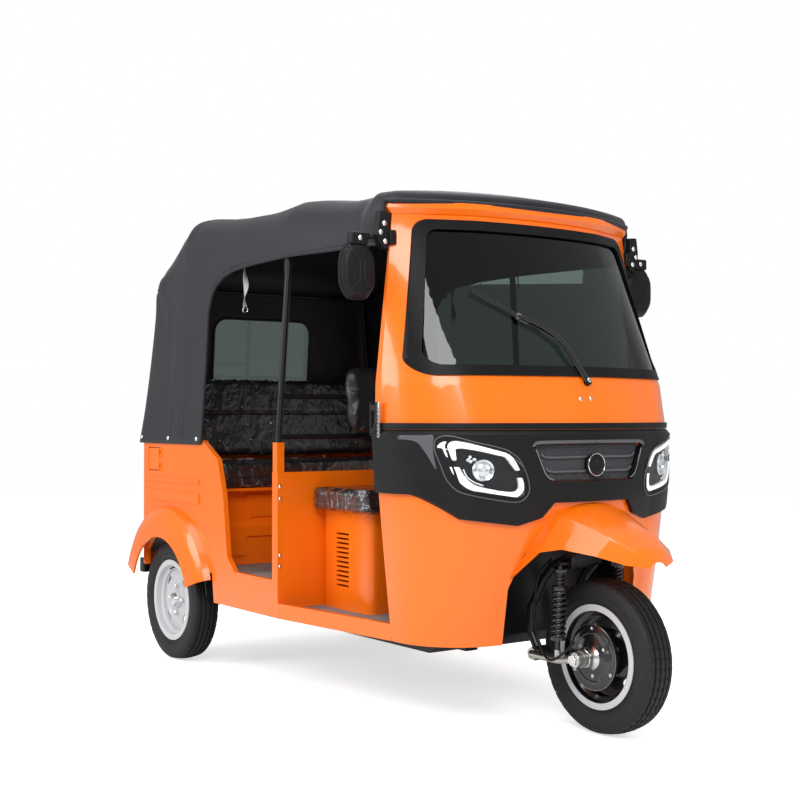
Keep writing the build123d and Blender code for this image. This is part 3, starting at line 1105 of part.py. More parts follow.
def spring(start, end, radius, wire, turns):
    """Coil spring between two points."""
    run = start - end
    with BuildPart() as coil:
        with BuildLine() as route:
            Helix(pitch=run.length / turns, height=run.length, radius=radius, center=end, direction=run)
        with BuildSketch(Plane(origin=route.line @ 0, z_dir=route.line % 0)):
            Circle(wire)
        sweep(path=route.line, is_frenet=True)
    return coil.part


shock_parts = []
for side in (-1, 1):
    x = side * SHOCK_X
    top = Vector(x, *SHOCK_TOP)
    foot = Vector(x, *SHOCK_FOOT)
    run = foot - top
    with BuildPart() as damper:
        add(tube_run([top, foot - run.normalized()], ROD_RADIUS))
        add(tube_run([top + run * 0.3, top + run * 0.84], BODY_RADIUS))
        for start, end, radius in SEATS:
            add(tube_run([top + run * start, top + run * end], radius))
        add(disc_x(min(side * 98.5, side * (SHOCK_X + 10.0)), max(side * 98.5, side * (SHOCK_X + 10.0)),
                   *SHOCK_TOP, EYE_RADIUS))
        for start, end, radius, wire, turns in SPRINGS:
            add(spring(top + run * start, top + run * end, radius, wire, turns))
    shock_parts += damper.part.solids()
keep("front_shocks", Compound(children=shock_parts))

# brake hose: from the brake plate down past the link's pivot and up to the fork's crown
HOSE_RADIUS = 4.0
HOSE_ROUTE = [(-160.0, -20.0, 310.0), (-163.0, 30.0, 268.0), (-163.0, 100.0, 240.0), (-160.0, 150.0, 290.0),
              (-160.0, 167.0, 423.0), (-146.0, 152.0, 520.0), (-112.0, 140.0, 556.0)]
with BuildPart() as brake_hose:
    with BuildLine() as route:
        Spline(*HOSE_ROUTE)
    with BuildSketch(Plane(origin=route.line @ 0, z_dir=route.line % 0)):
        Circle(HOSE_RADIUS)
    sweep(path=route.line)
keep("brake_hose", brake_hose.part)

# ---------------------------------------------------------------- engine and rear suspension
ENGINE_HALF = 170.0
ENGINE_BOTTOM = 216.0
ENGINE_TOP = 590.0
# two cross members hold it
engine_room = (CROSS_STATIONS[-2] + CROSS_HALF, CROSS_STATIONS[-1] - CROSS_HALF)
keep("engine_block", block((-ENGINE_HALF, ENGINE_HALF), engine_room, (ENGINE_BOTTOM, ENGINE_TOP)))

ARM_X = TRACK / 2 - 145.0
ARM_PIVOT = (1640.0, RAIL_BOTTOM + RAIL_SIZE / 2)      # y and z
ARM_RADIUS = 22.0
STRUT_TOP = 545.0
with BuildPart() as swing_arm:
    add(disc_x(RAIL_HALF + RAIL_SIZE / 2 + 0.2, ARM_X + ARM_RADIUS, *ARM_PIVOT, ARM_RADIUS))
    add(tube_run([(ARM_X, *ARM_PIVOT), (ARM_X, REAR_AXLE_Y, AXLE_Z)], ARM_RADIUS - 1.0))
    add(disc_x(ARM_X - 30.0, TRACK / 2 - 46.0, REAR_AXLE_Y, AXLE_Z, 40.0))
    add(disc_x(ENGINE_HALF + 0.2, TRACK / 2 + 36.0, REAR_AXLE_Y, AXLE_Z, HUB_BORE - RUNNING_GAP))
    add(tube_run([(ARM_X - 10.0, REAR_AXLE_Y - 60.0, 262.0),
                  (ARM_X - 50.0, REAR_AXLE_Y - 30.0, STRUT_TOP)], 25.0))
    add(block((RAIL_HALF - RAIL_SIZE / 2, ARM_X - 30.0), (REAR_AXLE_Y - 50.0, REAR_AXLE_Y - 10.0),
              (STRUT_TOP - 12.0, STRUT_TOP + 12.0)))
    add(block((RAIL_HALF - RAIL_SIZE / 2, RAIL_HALF + RAIL_SIZE / 2),
              (REAR_AXLE_Y - 50.0, REAR_AXLE_Y - 10.0),
              (RAIL_BOTTOM + RAIL_SIZE + KICK_RISE + 0.2, STRUT_TOP)))
keep("rear_suspension", with_mirror(swing_arm.part))

# ---------------------------------------------------------------- writing
os.makedirs("parts", exist_ok=True)
for piece_name, piece in PIECES.items():
    moved = Pos(0, -MID_LENGTH, 0) * piece
    moved.label = piece_name
    export_step(moved, f"parts/{piece_name}.step")
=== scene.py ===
"""Looks of the auto rickshaw: paint, soft top, cushions, lamps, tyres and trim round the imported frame.

Metres, in the frame of the CAD model. Stations along the vehicle are written as distances behind the
front axle and turned into the frame by at().
"""
import json
import math
from functools import lru_cache
from math import cos, pi, radians, sin

import bpy
import numpy as np
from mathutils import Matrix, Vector, noise
from mathutils.bvhtree import BVHTree


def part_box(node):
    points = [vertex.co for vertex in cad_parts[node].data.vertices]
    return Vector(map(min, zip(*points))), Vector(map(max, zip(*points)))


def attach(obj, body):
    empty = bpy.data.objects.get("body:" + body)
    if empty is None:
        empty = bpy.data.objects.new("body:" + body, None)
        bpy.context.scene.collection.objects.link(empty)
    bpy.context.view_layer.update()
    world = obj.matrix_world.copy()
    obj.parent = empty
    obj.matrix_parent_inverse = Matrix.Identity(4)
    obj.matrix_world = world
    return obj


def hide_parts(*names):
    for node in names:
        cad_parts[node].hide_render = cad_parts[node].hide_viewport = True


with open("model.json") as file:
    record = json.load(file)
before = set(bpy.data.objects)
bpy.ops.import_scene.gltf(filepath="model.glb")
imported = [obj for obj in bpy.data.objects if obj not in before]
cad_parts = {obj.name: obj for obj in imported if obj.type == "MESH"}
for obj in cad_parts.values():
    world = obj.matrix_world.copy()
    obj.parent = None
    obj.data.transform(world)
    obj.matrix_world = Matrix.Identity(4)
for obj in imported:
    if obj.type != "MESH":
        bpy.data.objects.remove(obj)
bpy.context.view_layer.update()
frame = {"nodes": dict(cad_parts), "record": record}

NODES = frame["nodes"]
SIDES = (-1, 1)                  # the near side of the photograph has negative x
AHEAD = (0, -1, 0)               # the way the vehicle faces
OFF_AXIS = 0.00001               # least radius of a turned solid, so that its points stay apart
FAR = 3.0                        # rays towards the vehicle start this far from the origin


def middle_of(node):
    """Middle of a node's box."""
    low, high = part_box(node)
    return (low + high) / 2


AXLE = middle_of("front_tyre")   # middle of the front wheel


def at(x, y, z):
    """Point of the frame whose y is given as a distance behind the front axle."""
    return Vector((x, y + AXLE.y, z))


# ---- materials
def new_material(name):
    """Material with its tree and its Principled shader."""
    material = bpy.data.materials.new(name)
    material.use_nodes = True
    tree = material.node_tree
    return material, tree, tree.nodes["Principled BSDF"]


def wire(tree, socket, value):
    """Links a socket to a (node, output) pair, or sets it to a value."""
    if isinstance(value, tuple) and hasattr(value[0], "outputs"):
        tree.links.new(value[0].outputs[value[1]], socket)
    else:
        socket.default_value = value


def add_node(tree, kind, **inputs):
    """Node with its sockets, or else its own settings, given by name."""
    node = tree.nodes.new(kind)
    for key, value in inputs.items():
        name = key.replace("_", " ")
        if name in node.inputs:
            wire(tree, node.inputs[name], value)
        else:
            setattr(node, key, value)
    return node


def maths(tree, operation, *values):
    """Math node over numbers or (node, output) pairs."""
    node = add_node(tree, "ShaderNodeMath", operation=operation)
    for socket, value in zip(node.inputs, values):
        wire(tree, socket, value)
    return node


def set_sockets(shader, **values):
    """Sets a shader's own sockets by name."""
    for key, value in values.items():
        shader.inputs[key.replace("_", " ")].default_value = value


def ramp(tree, source, *stops):
    """Colour ramp over a value; stops are (place, colour)."""
    node = add_node(tree, "ShaderNodeValToRGB", Fac=source)
    elements = node.color_ramp.elements
    while len(elements) < len(stops):
        elements.new(0.5)
    for element, (place, colour) in zip(elements, stops):
        element.position = place
        element.color = (*colour, 1.0)
    return node


def grain(tree, scale, detail=3.0, stretch=(1.0, 1.0, 1.0)):
    """Noise in the object's own space, in cycles per metre."""
    return add_node(tree, "ShaderNodeTexNoise", Vector=(stretched(tree, stretch), "Vector"), Scale=scale,
                    Detail=detail, Roughness=0.55)


def cells(tree, scale):
    """Small cells in the object's own space: the weave of a cloth or the pores of vinyl."""
    return add_node(tree, "ShaderNodeTexVoronoi", Vector=(stretched(tree), "Vector"), Scale=scale)


def stretched(tree, stretch=(1.0, 1.0, 1.0)):
    """Object coordinates, stretched along the axes."""
    place = tree.nodes.new("ShaderNodeTexCoord")
    return add_node(tree, "ShaderNodeMapping", Vector=(place, "Object"), Scale=stretch)


def add_bump(tree, shader, height, strength, distance, socket="Normal", below=None):
    """Bump from a height, on the shader's normal or its coat's."""
    node = add_node(tree, "ShaderNodeBump", Height=height, Strength=strength, Distance=distance)
    if below is not None:
        tree.links.new(below.outputs["Normal"], node.inputs["Normal"])
    tree.links.new(node.outputs["Normal"], shader.inputs[socket])
    return node


def vary(tree, shader, base, spread, source):
    """Base colour that drifts a little, between darker and lighter by spread."""
    dark = tuple(c * (1.0 - spread) for c in base)
    light = tuple(min(1.0, c * (1.0 + spread)) for c in base)
    colours = ramp(tree, source, (0.3, dark), (0.7, light))
    tree.links.new(colours.outputs["Color"], shader.inputs["Base Color"])


def vary_roughness(tree, shader, low, high, source):
    """Roughness that drifts between two values."""
    node = add_node(tree, "ShaderNodeMapRange", Value=source, To_Min=low, To_Max=high)
    tree.links.new(node.outputs["Result"], shader.inputs["Roughness"])


def paint(name, colour, roughness=0.26, coat=0.60):
    """Glossy two-layer paint with faint orange peel and a slow drift of tone."""
    material, tree, shader = new_material(name)
    slow = grain(tree, 2.2, detail=2.0)
    peel = grain(tree, 160.0, detail=2.0)
    vary(tree, shader, colour, 0.035, (slow, "Fac"))
    vary_roughness(tree, shader, roughness - 0.04, roughness + 0.05, (slow, "Fac"))
    set_sockets(shader, Specular_IOR_Level=0.28, Coat_Weight=coat, Coat_Roughness=0.10)
    add_bump(tree, shader, (peel, "Fac"), 0.05, 0.0006)
    return material


def moulded(name, colour, roughness=0.5, texture=620.0, strength=0.22, specular=0.5):
    """Moulded plastic or rubber with a fine grain."""
    material, tree, shader = new_material(name)
    fine = grain(tree, texture, detail=2.0)
    slow = grain(tree, 7.0, detail=3.0)
    vary(tree, shader, colour, 0.12, (slow, "Fac"))
    vary_roughness(tree, shader, roughness - 0.07, roughness + 0.07, (slow, "Fac"))
    set_sockets(shader, Specular_IOR_Level=specular)
    add_bump(tree, shader, (fine, "Fac"), strength, 0.0006)
    return material


def metal(name, colour, roughness=0.3):
    """Bare or plated metal with fine drawn lines and a drift of dullness."""
    material, tree, shader = new_material(name)
    lines = grain(tree, 1.0, detail=2.0, stretch=(40.0, 900.0, 900.0))
    slow = grain(tree, 26.0, detail=3.0)
    vary(tree, shader, colour, 0.08, (slow, "Fac"))
    vary_roughness(tree, shader, roughness * 0.75, roughness * 1.3, (slow, "Fac"))
    set_sockets(shader, Metallic=1.0)
    add_bump(tree, shader, (lines, "Fac"), 0.08, 0.0003)
    return material


def glass(name, colour, roughness=0.0, specular=0.5):
    """Clear or tinted sheet with very faint waviness."""
    material, tree, shader = new_material(name)
    slow = grain(tree, 3.0, detail=1.0)
    vary(tree, shader, colour, 0.02, (slow, "Fac"))
    set_sockets(shader, Transmission_Weight=1.0, Specular_IOR_Level=specular, IOR=1.45, Roughness=roughness)
    add_bump(tree, shader, (slow, "Fac"), 0.02, 0.0005)
    return material


def coated_cloth(name, colour):
    """Coated hood cloth: fine weave under a satin skin, with soft creases."""
    material, tree, shader = new_material(name)
    weave = cells(tree, 900.0)
    slow = grain(tree, 3.5, detail=4.0)
    crease = grain(tree, 9.0, detail=3.0, stretch=(1.0, 1.0, 0.45))
    vary(tree, shader, colour, 0.10, (slow, "Fac"))
    vary_roughness(tree, shader, 0.44, 0.60, (slow, "Fac"))
    set_sockets(shader, Specular_IOR_Level=0.32, Sheen_Weight=0.08, Sheen_Roughness=0.4)
    first = add_bump(tree, shader, (weave, "Distance"), 0.16, 0.0006)
    add_bump(tree, shader, (crease, "Fac"), 0.20, 0.006, below=first)
    return material


def wrapped_vinyl(name, colour):
    """Seat vinyl under a loose clear plastic wrap; the white highlights on the wrap's creases are painted
    into the base colour as light grey lines.
    """
    material, tree, shader = new_material(name)
    pores = cells(tree, 700.0)
    folds = grain(tree, 6.5, detail=4.0, stretch=(1.0, 1.7, 0.8))
    highlight_patches = grain(tree, 3.4, detail=1.0)
    ridged = maths(tree, "ABSOLUTE", (maths(tree, "SUBTRACT", (folds, "Fac"), 0.5), "Value"))
    line = add_node(tree, "ShaderNodeMapRange", Value=(ridged, "Value"), From_Min=0.0, From_Max=0.015,
                    To_Min=1.0, To_Max=0.0)
    highlight_mask = add_node(tree, "ShaderNodeMapRange", Value=(highlight_patches, "Fac"), From_Min=0.50, From_Max=0.66)
    creases = maths(tree, "MULTIPLY", (line, "Result"), (highlight_mask, "Result"))
    # painted highlights: in patches, the thin crease lines turn light grey in the base colour, standing for
    # the white light the wrap's creases catch
    film = ramp(tree, (creases, "Value"), (0.0, colour), (0.45, tuple(c * 5 for c in colour)),
                (1.0, (0.52, 0.52, 0.55)))
    tree.links.new(film.outputs["Color"], shader.inputs["Base Color"])
    set_sockets(shader, Roughness=0.36, Coat_Weight=1.0, Coat_Roughness=0.05)
    add_bump(tree, shader, (pores, "Distance"), 0.12, 0.0005)
    add_bump(tree, shader, (ridged, "Value"), 1.0, 0.05, socket="Coat Normal")
    return material


def ribbed_mat(name, colour):
    """Rubber floor mat with fine lengthwise ribs and dust in them."""
    material, tree, shader = new_material(name)
    place = tree.nodes.new("ShaderNodeTexCoord")
    ribs = add_node(tree, "ShaderNodeTexWave", Vector=(place, "Object"), Scale=38.0, bands_direction="X")
    slow = grain(tree, 9.0, detail=4.0)
    vary(tree, shader, colour, 0.16, (slow, "Fac"))
    set_sockets(shader, Roughness=0.8)
    add_bump(tree, shader, (ribs, "Fac"), 0.6, 0.002)
    return material


# the record's slots first, then finishes that only pieces have: kind, colour, further values
FINISHES = {
    "body_paint": (paint, (0.92, 0.165, 0.004)),
    "black_steel": (paint, (0.008, 0.008, 0.009), 0.35, 0.1),
    "spring_steel": (paint, (0.012, 0.012, 0.013), 0.25, 0.8),
    "black_plastic": (moulded, (0.0075, 0.008, 0.009), 0.46, 620.0, 0.22, 0.22),
    "floor_rubber": (ribbed_mat, (0.23, 0.19, 0.18)),
    "seal_rubber": (moulded, (0.009, 0.009, 0.010), 0.40, 420.0, 0.22, 0.10),
    # the screen's near-black tint is painted shade: it darkens the white surroundings seen through it to the
    # shade of the cab behind
    "screen_glass": (glass, (0.018, 0.026, 0.024), 0.0, 0.12),
    "lamp_glass": (glass, (0.93, 0.95, 0.97)),
    "tail_lens": (moulded, (0.45, 0.008, 0.008), 0.12, 300.0, 0.3),
    "strip_white": (moulded, (0.95, 0.96, 1.0), 0.18, 200.0, 0.05),
    "hood_cloth": (coated_cloth, (0.015, 0.016, 0.0205)),
    # the window film's dark tint is painted shade: it stands for the shaded cab seen through it
    "window_film": (glass, (0.070, 0.087, 0.081), 0.05),
    "seat_vinyl": (wrapped_vinyl, (0.010, 0.010, 0.012)),
    "strap_web": (moulded, (0.42, 0.42, 0.43), 0.6),
    "tyre": (moulded, (0.012, 0.012, 0.013), 0.58, 500.0, 0.22, 0.35),
    "wheel_silver": (paint, (0.55, 0.56, 0.58), 0.32, 0.5),
    "wheel_black": (paint, (0.008, 0.008, 0.009), 0.18, 1.0),
    "axle_zinc": (metal, (0.62, 0.61, 0.58), 0.34),
    "engine_iron": (metal, (0.22, 0.22, 0.23), 0.5),
    "lamp_chrome": (metal, (0.80, 0.81, 0.82), 0.12),
    "chrome_plate": (metal, (0.86, 0.87, 0.88), 0.09),
    "plain_vinyl": (moulded, (0.011, 0.011, 0.013), 0.40, 480.0),
    # a grey much lighter than the black plastic; on the lamp rims and the fascia facets it is a painted
    # highlight of the light they catch
    "satin_grey": (moulded, (0.085, 0.088, 0.098), 0.34),
    "rim_line": (moulded, (0.24, 0.24, 0.25), 0.3),
    "mirror_face": (metal, (0.88, 0.90, 0.91), 0.02),
    "screw_steel": (metal, (0.70, 0.70, 0.70), 0.22),
}
MATERIALS = {name: make(name, *values) for name, (make, *values) in FINISHES.items()}
set_sockets(MATERIALS["strip_white"].node_tree.nodes["Principled BSDF"], Emission_Color=(1, 1, 1, 1),
            Emission_Strength=0.25)


# ---- mesh tools
def make_piece(name, mesh_parts, slot, body="cab", finish=None, smooth=True, split=None):
    """Mesh piece from (vertices, faces) parts that rides on a body and takes a slot's or another finish."""
    vertices, faces = joined(mesh_parts)
    mesh = bpy.data.meshes.new(name)
    mesh.from_pydata([tuple(v) for v in vertices], [], faces)
    mesh.validate()
    piece = bpy.data.objects.new(name, mesh)
    bpy.context.scene.collection.objects.link(piece)
    mesh.materials.append(MATERIALS[finish or slot])
    for polygon in mesh.polygons:
        polygon.use_smooth = smooth
    if split:
        add_modifier(piece, "EDGE_SPLIT", split_angle=radians(split))
    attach(piece, body)
    return piece


def add_modifier(piece, kind, **settings):
    """Modifier with its settings."""
    modifier = piece.modifiers.new(kind.lower(), kind)
    for key, value in settings.items():
        setattr(modifier, key, value)
    return modifier


def dress_cad():
    """Gives every CAD node its slot's material and smooth shading between its real edges."""
    slots = {row["node"]: row["material_slot"] for row in frame["record"]["subparts"]}
    for name, node in NODES.items():
        node.data.materials.clear()
        node.data.materials.append(MATERIALS[slots[name]])
        for polygon in node.data.polygons:
            polygon.use_smooth = True
        add_modifier(node, "WELD", merge_threshold=0.00002)
        add_modifier(node, "EDGE_SPLIT", split_angle=radians(32.0))


dress_cad()


def joined(parts):
    """Several (vertices, faces) as one."""
    vertices, faces = [], []
    for some, sides in parts:
        base = len(vertices)
        vertices += list(some)
        faces += [tuple(base + i for i in face) for face in sides]
    return vertices, faces


def grid_faces(rows, columns, closed=False):
    """Faces of a grid of points, row after row; closed joins the last column to the first."""
    last = columns if closed else columns - 1
    return [(r * columns + c, r * columns + (c + 1) % columns, (r + 1) * columns + (c + 1) % columns,
             (r + 1) * columns + c) for r in range(rows - 1) for c in range(last)]


def capped(count, size):
    """Faces of a run of closed rings of size points, with both ends shut."""
    return grid_faces(count, size, closed=True) + [tuple(range(size))[::-1],
                                                   tuple(range((count - 1) * size, count * size))]


def wheel_faces(steps, size):
    """Faces of an outline of size points turned in steps right round."""
    return [(k * size + i, k * size + (i + 1) % size, ((k + 1) % steps) * size + (i + 1) % size,
             ((k + 1) % steps) * size + i) for k in range(steps) for i in range(size)]


def two_skins(vertices, rows, columns):
    """Solid between two grids of points, the front one first."""
    size = rows * columns
    faces = grid_faces(rows, columns)
    faces += [tuple(size + i for i in face)[::-1] for face in faces]
    border = ([c for c in range(columns)] + [r * columns + columns - 1 for r in range(1, rows)]
              + [(rows - 1) * columns + c for c in range(columns - 2, -1, -1)]
              + [r * columns for r in range(rows - 2, 0, -1)])
    return vertices, faces + [(a, b, size + b, size + a) for a, b in zip(border, border[1:] + border[:1])]


def tube_mesh(points, radius, sides=10, closed=False):
    """Tube along points; radius may be one number or one for each point."""
    count = len(points)
    radii = radius if hasattr(radius, "__len__") else [radius] * count
    vertices = []
    normal = None
    for i, point in enumerate(points):
        before = points[i - 1] if (i or closed) else point
        after = points[(i + 1) % count] if (i < count - 1 or closed) else point
        along = (Vector(after) - Vector(before)).normalized()
        if normal is None:
            normal = along.orthogonal().normalized()
        normal = (normal - along * normal.dot(along)).normalized()
        other = along.cross(normal)
        for k in range(sides):
            angle = 2 * pi * k / sides
            out = normal * (cos(angle) * radii[i]) + other * (sin(angle) * radii[i])
            vertices.append(Vector(point) + out)
    return vertices, (wheel_faces if closed else capped)(count, sides)


def spokes(axis, steps):
    """Unit directions square to an axis, all round it."""
    across = axis.orthogonal().normalized()
    third = axis.cross(across)
    return [across * cos(2 * pi * k / steps) + third * sin(2 * pi * k / steps) for k in range(steps)]


def turned(profile, steps, centre, axis):
    """Closed outline (distance along the axis, radius) turned about the axis."""
    axis = Vector(axis).normalized()
    vertices = [Vector(centre) + axis * along + out * max(radius, OFF_AXIS)
                for out in spokes(axis, steps) for along, radius in profile]
    return vertices, wheel_faces(steps, len(profile))


def ring_mesh(centre, axis, radius, wire):
    """Round ring of wire."""
    points = [Vector(centre) + out * radius for out in spokes(Vector(axis).normalized(), 39)]
    return tube_mesh(points, wire, sides=8, closed=True)


def bolt(centre, out, radius, height):
    """Domed screw head on a thin washer, sunk a little into its seat."""
    ring, sunk = radius * 1.5, 0.0006
    profile = ((0.0, 0), (0.0, ring), (height * 0.3, ring * 0.98), (height * 0.35, radius),
               (height * 0.8, radius * 0.9), (height, radius * 0.55), (height, 0))
    return turned([(along - sunk, r) for along, r in profile], 14, centre, out)


def nodes_tree(*names):
    """Tree of the faces of some CAD nodes, to set pieces down on them."""
    meshes = [NODES[name].data for name in names]
    return BVHTree.FromPolygons(*joined([([v.co.copy() for v in mesh.vertices],
                                          [tuple(polygon.vertices) for polygon in mesh.polygons])
                                         for mesh in meshes]))


def first_hit(tree, start, way):
    """Point where a line first meets the tree, and the normal there, turned against the line."""
    hit, normal, _, _ = tree.ray_cast(Vector(start), Vector(way))
    if hit is None:
        raise ValueError(f"nothing met from {tuple(start)}")
    return hit, (normal if normal.dot(Vector(way)) < 0 else -normal)


def front_face(tree, x, z):
    """Point and normal of the tree's front at x, z."""
    return first_hit(tree, (x, -FAR, z), (0, 1, 0))


def smooth_line(points, steps, closed=False):
    """Points of a smooth curve through the given ones."""
    given = [Vector(p) for p in points]
    count = len(given)
    line = []
    for i in range(count if closed else count - 1):
        a, b = given[i], given[(i + 1) % count]
        before = given[i - 1] if (closed or i) else a * 2 - b
        after = given[(i + 2) % count] if (closed or i < count - 2) else b * 2 - a
        for k in range(steps):
            t = k / steps
            line.append((a * 2 + (b - before) * t + (before * 2 - a * 5 + b * 4 - after) * t ** 2
                         + (a * 3 - before - b * 3 + after) * t ** 3) / 2)
    return line if closed else line + [given[-1]]


# ---- hood
# columns: station, crown z, roof x, roof z, side x, side z, hem x
HOOD_ROWS = np.array((
    (0.290, 1.768, 0.405, 1.748, 0.500, 1.700, 0.560),
    (0.450, 1.806, 0.430, 1.784, 0.528, 1.716, 0.585),
    (0.600, 1.818, 0.440, 1.794, 0.546, 1.716, 0.602),
    (1.100, 1.858, 0.450, 1.834, 0.560, 1.720, 0.607),
    (1.550, 1.857, 0.450, 1.834, 0.562, 1.715, 0.610),
    (1.920, 1.884, 0.452, 1.862, 0.562, 1.725, 0.612),
    (2.250, 1.690, 0.440, 1.672, 0.552, 1.606, 0.612),
    (2.350, 1.620, 0.430, 1.600, 0.548, 1.540, 0.612)))
HOOD_HEM = 0.914
HOOD_BACK = np.array(((0.900, 2.324), (1.607, 2.258), (1.900, 2.205)))
HOOD_BOWS = (1.10, 1.92)
# columns: station where the slack is deepest, spread, depth
HOOD_SLACK = ((0.80, 0.17, 0.015), (1.33, 0.20, 0.013), (1.66, 0.16, 0.006), (2.09, 0.08, 0.004))
# the door opening, station and height: up the front post, along the roof and down the rear edge
DOOR_EDGE = ((0.468, 1.738), (0.468, 1.604), (1.08, 1.620), (1.36, 1.616), (1.50, 1.606), (1.58, 1.588),
             (1.640, 1.556), (1.675, 1.520), (1.700, 1.450), (1.700, 0.880))
DOOR_FRONT, DOOR_REAR = DOOR_EDGE[0][0], DOOR_EDGE[-1][0]
DOOR_INNER = 0.30                # the sides of the hood are farther out than this
PEAK_FOOT = 1.7402               # height of the hood's front edge
BACK_FROM = 2.15                 # the hood's back lies behind this station
WINDOW_HALF, WINDOW_LOW, WINDOW_HIGH, WINDOW_RADIUS = 0.255, 1.150, 1.476, 0.060
HOOD_SEAMS = ((1.870, 0.0030), (1.905, 0.0022), (1.985, 0.0022), (1.10, 0.0014))     # station, height
HOOD_STEP = 0.017                # distance between the points of the cloth
HOOD_BLOCK = ((-0.60, 0.30), (0.60, 2.33), 1.87)    # block whose faces are moved onto the hood: corners, top
HOOD_INSET = 0.26                # its core, which the lines to the hood start from, is smaller by this


def smooth_max(a, b, width):
    """Larger of two values, rounded where they are closer than width."""
    near = np.maximum(width - np.abs(a - b), 0.0) / width
    return np.maximum(a, b) + near * near * width / 4.0


def ramp_up(value, start, length):
    """0 up to start, 1 past start + length and straight between."""
    return np.clip((value - start) / length, 0.0, 1.0)


def bell(value, middle, spread):
    """1 at the middle, falling away smoothly on both sides."""
    return np.exp(-((value - middle) / spread) ** 2)


def hood_field(x, y, z):
    """Negative inside the hood, positive outside, zero on its cloth."""
    crown, roof_x, roof_z, side_x, side_z, hem_x = (np.interp(y, HOOD_ROWS[:, 0], column)
                                                    for column in HOOD_ROWS.T[1:])
    slack = sum(depth * bell(y, middle, spread) for middle, spread, depth in HOOD_SLACK)
    aside = np.abs(x)
    waist = 0.006 * np.sin(ramp_up(z, HOOD_HEM, 0.66) * pi) * ramp_up(y, 1.60, 0.2)
    slope = (side_x - hem_x) / (side_z - HOOD_HEM)
    side = aside - hem_x - slope * (z - HOOD_HEM) + slack * 0.55 * ramp_up(z, 1.45, 0.25) + waist
    ahead = 1.0 - ramp_up(y, 0.52, 0.10)
    side = side - 0.030 * ahead * ramp_up(z, 1.60, 0.08)
    roof = z - (crown - (crown - roof_z) * (aside / roof_x) ** 2) + slack
    back = y - np.interp(z, HOOD_BACK[:, 0], HOOD_BACK[:, 1]) + waist
    front = 0.309 + (aside / 0.53) ** 2 * 0.131 - y
    whole = smooth_max(smooth_max(side, roof, 0.115 - 0.075 * ahead), back, 0.055)
    return smooth_max(whole, front, 0.020)


def on_hood(core, out):
    """Points where lines from core points along out leave the hood."""
    low = np.zeros(len(core))
    high = np.full(len(core), 0.9)
    for _ in range(30):
        middle = (low + high) / 2
        place = core + out * middle[:, None]
        inside = hood_field(place[:, 0], place[:, 1], place[:, 2]) < 0.0
        low = np.where(inside, middle, low)
        high = np.where(inside, high, middle)
    return core + out * low[:, None]


def nearest_on_path(point, path):
    """Nearest point of a chain of straight runs."""
    best = None
    for a, b in zip(path, path[1:]):
        run = (b[0] - a[0], b[1] - a[1])
        share = ((point[0] - a[0]) * run[0] + (point[1] - a[1]) * run[1]) / (run[0] ** 2 + run[1] ** 2)
        share = min(1.0, max(0.0, share))
        place = (a[0] + share * run[0], a[1] + share * run[1])
        gap = (place[0] - point[0]) ** 2 + (place[1] - point[1]) ** 2
        if best is None or gap < best[0]:
            best = (gap, place)
    return best[1]


def window_path():
    """Closed outline (x, z) of the rear window."""
    path = []
    right, low, high = WINDOW_HALF - WINDOW_RADIUS, WINDOW_LOW + WINDOW_RADIUS, WINDOW_HIGH - WINDOW_RADIUS
    for cx, cz, start in ((right, high, 0), (-right, high, 90), (-right, low, 180), (right, low, 270)):
        path += [(cx + WINDOW_RADIUS * cos(radians(start + a)), cz + WINDOW_RADIUS * sin(radians(start + a)))
                 for a in range(0, 91, 9)]
    return path + path[:1]


def door_height(y):
    """Height of the door opening's upper edge at a station."""
    return float(np.interp(y, *zip(*DOOR_EDGE[1:8])))


def make_hood():
    """Hood: one continuous sheet over sides, roof and back, cut for the doors and the rear window."""
    low, high, top = np.array(HOOD_BLOCK[0]), np.array(HOOD_BLOCK[1]), HOOD_BLOCK[2]
    across, along = (int(n) for n in np.round((high - low) / HOOD_STEP))
    levels = int(round((top - HOOD_HEM) / HOOD_STEP))
    xs, ys = np.linspace(low[0], high[0], across + 1), np.linspace(low[1], high[1], along + 1)
    ring = ([(low[0], y) for y in ys] + [(x, high[1]) for x in xs[1:]] + [(high[0], y) for y in ys[::-1][1:]]
            + [(x, low[1]) for x in xs[::-1][1:-1]])
    count = len(ring)
    shell = [(x, y, z) for z in np.linspace(HOOD_HEM, top, levels + 1) for x, y in ring]
    roof = [(x, y, top) for y in ys[1:-1] for x in xs[1:-1]]
    points = np.array(shell + roof)
    core = np.column_stack((np.clip(points[:, :2], low + HOOD_INSET, high - HOOD_INSET),
                            np.minimum(points[:, 2], top - HOOD_INSET)))
    out = points - core
    out /= np.linalg.norm(out, axis=1)[:, None]

    # which point lies where on the roof: the ring's last row goes round its edge
    place = np.empty((along + 1, across + 1), int)
    last = levels * count
    place[:, 0] = last + np.arange(along + 1)
    place[-1, :] = last + along + np.arange(across + 1)
    place[:, -1] = last + 2 * along + across - np.arange(along + 1)
    place[0, 1:] = last + 2 * along + 2 * across - np.arange(1, across + 1)
    place[1:-1, 1:-1] = len(shell) + np.arange(len(roof)).reshape(along - 1, across - 1)
    flat = place.ravel().tolist()
    faces = grid_faces(levels + 1, count, closed=True)
    faces += [(flat[a], flat[d], flat[c], flat[b]) for a, b, c, d in grid_faces(along + 1, across + 1)]
    return cut_hood(settle_cloth(on_hood(core, out), out), faces)


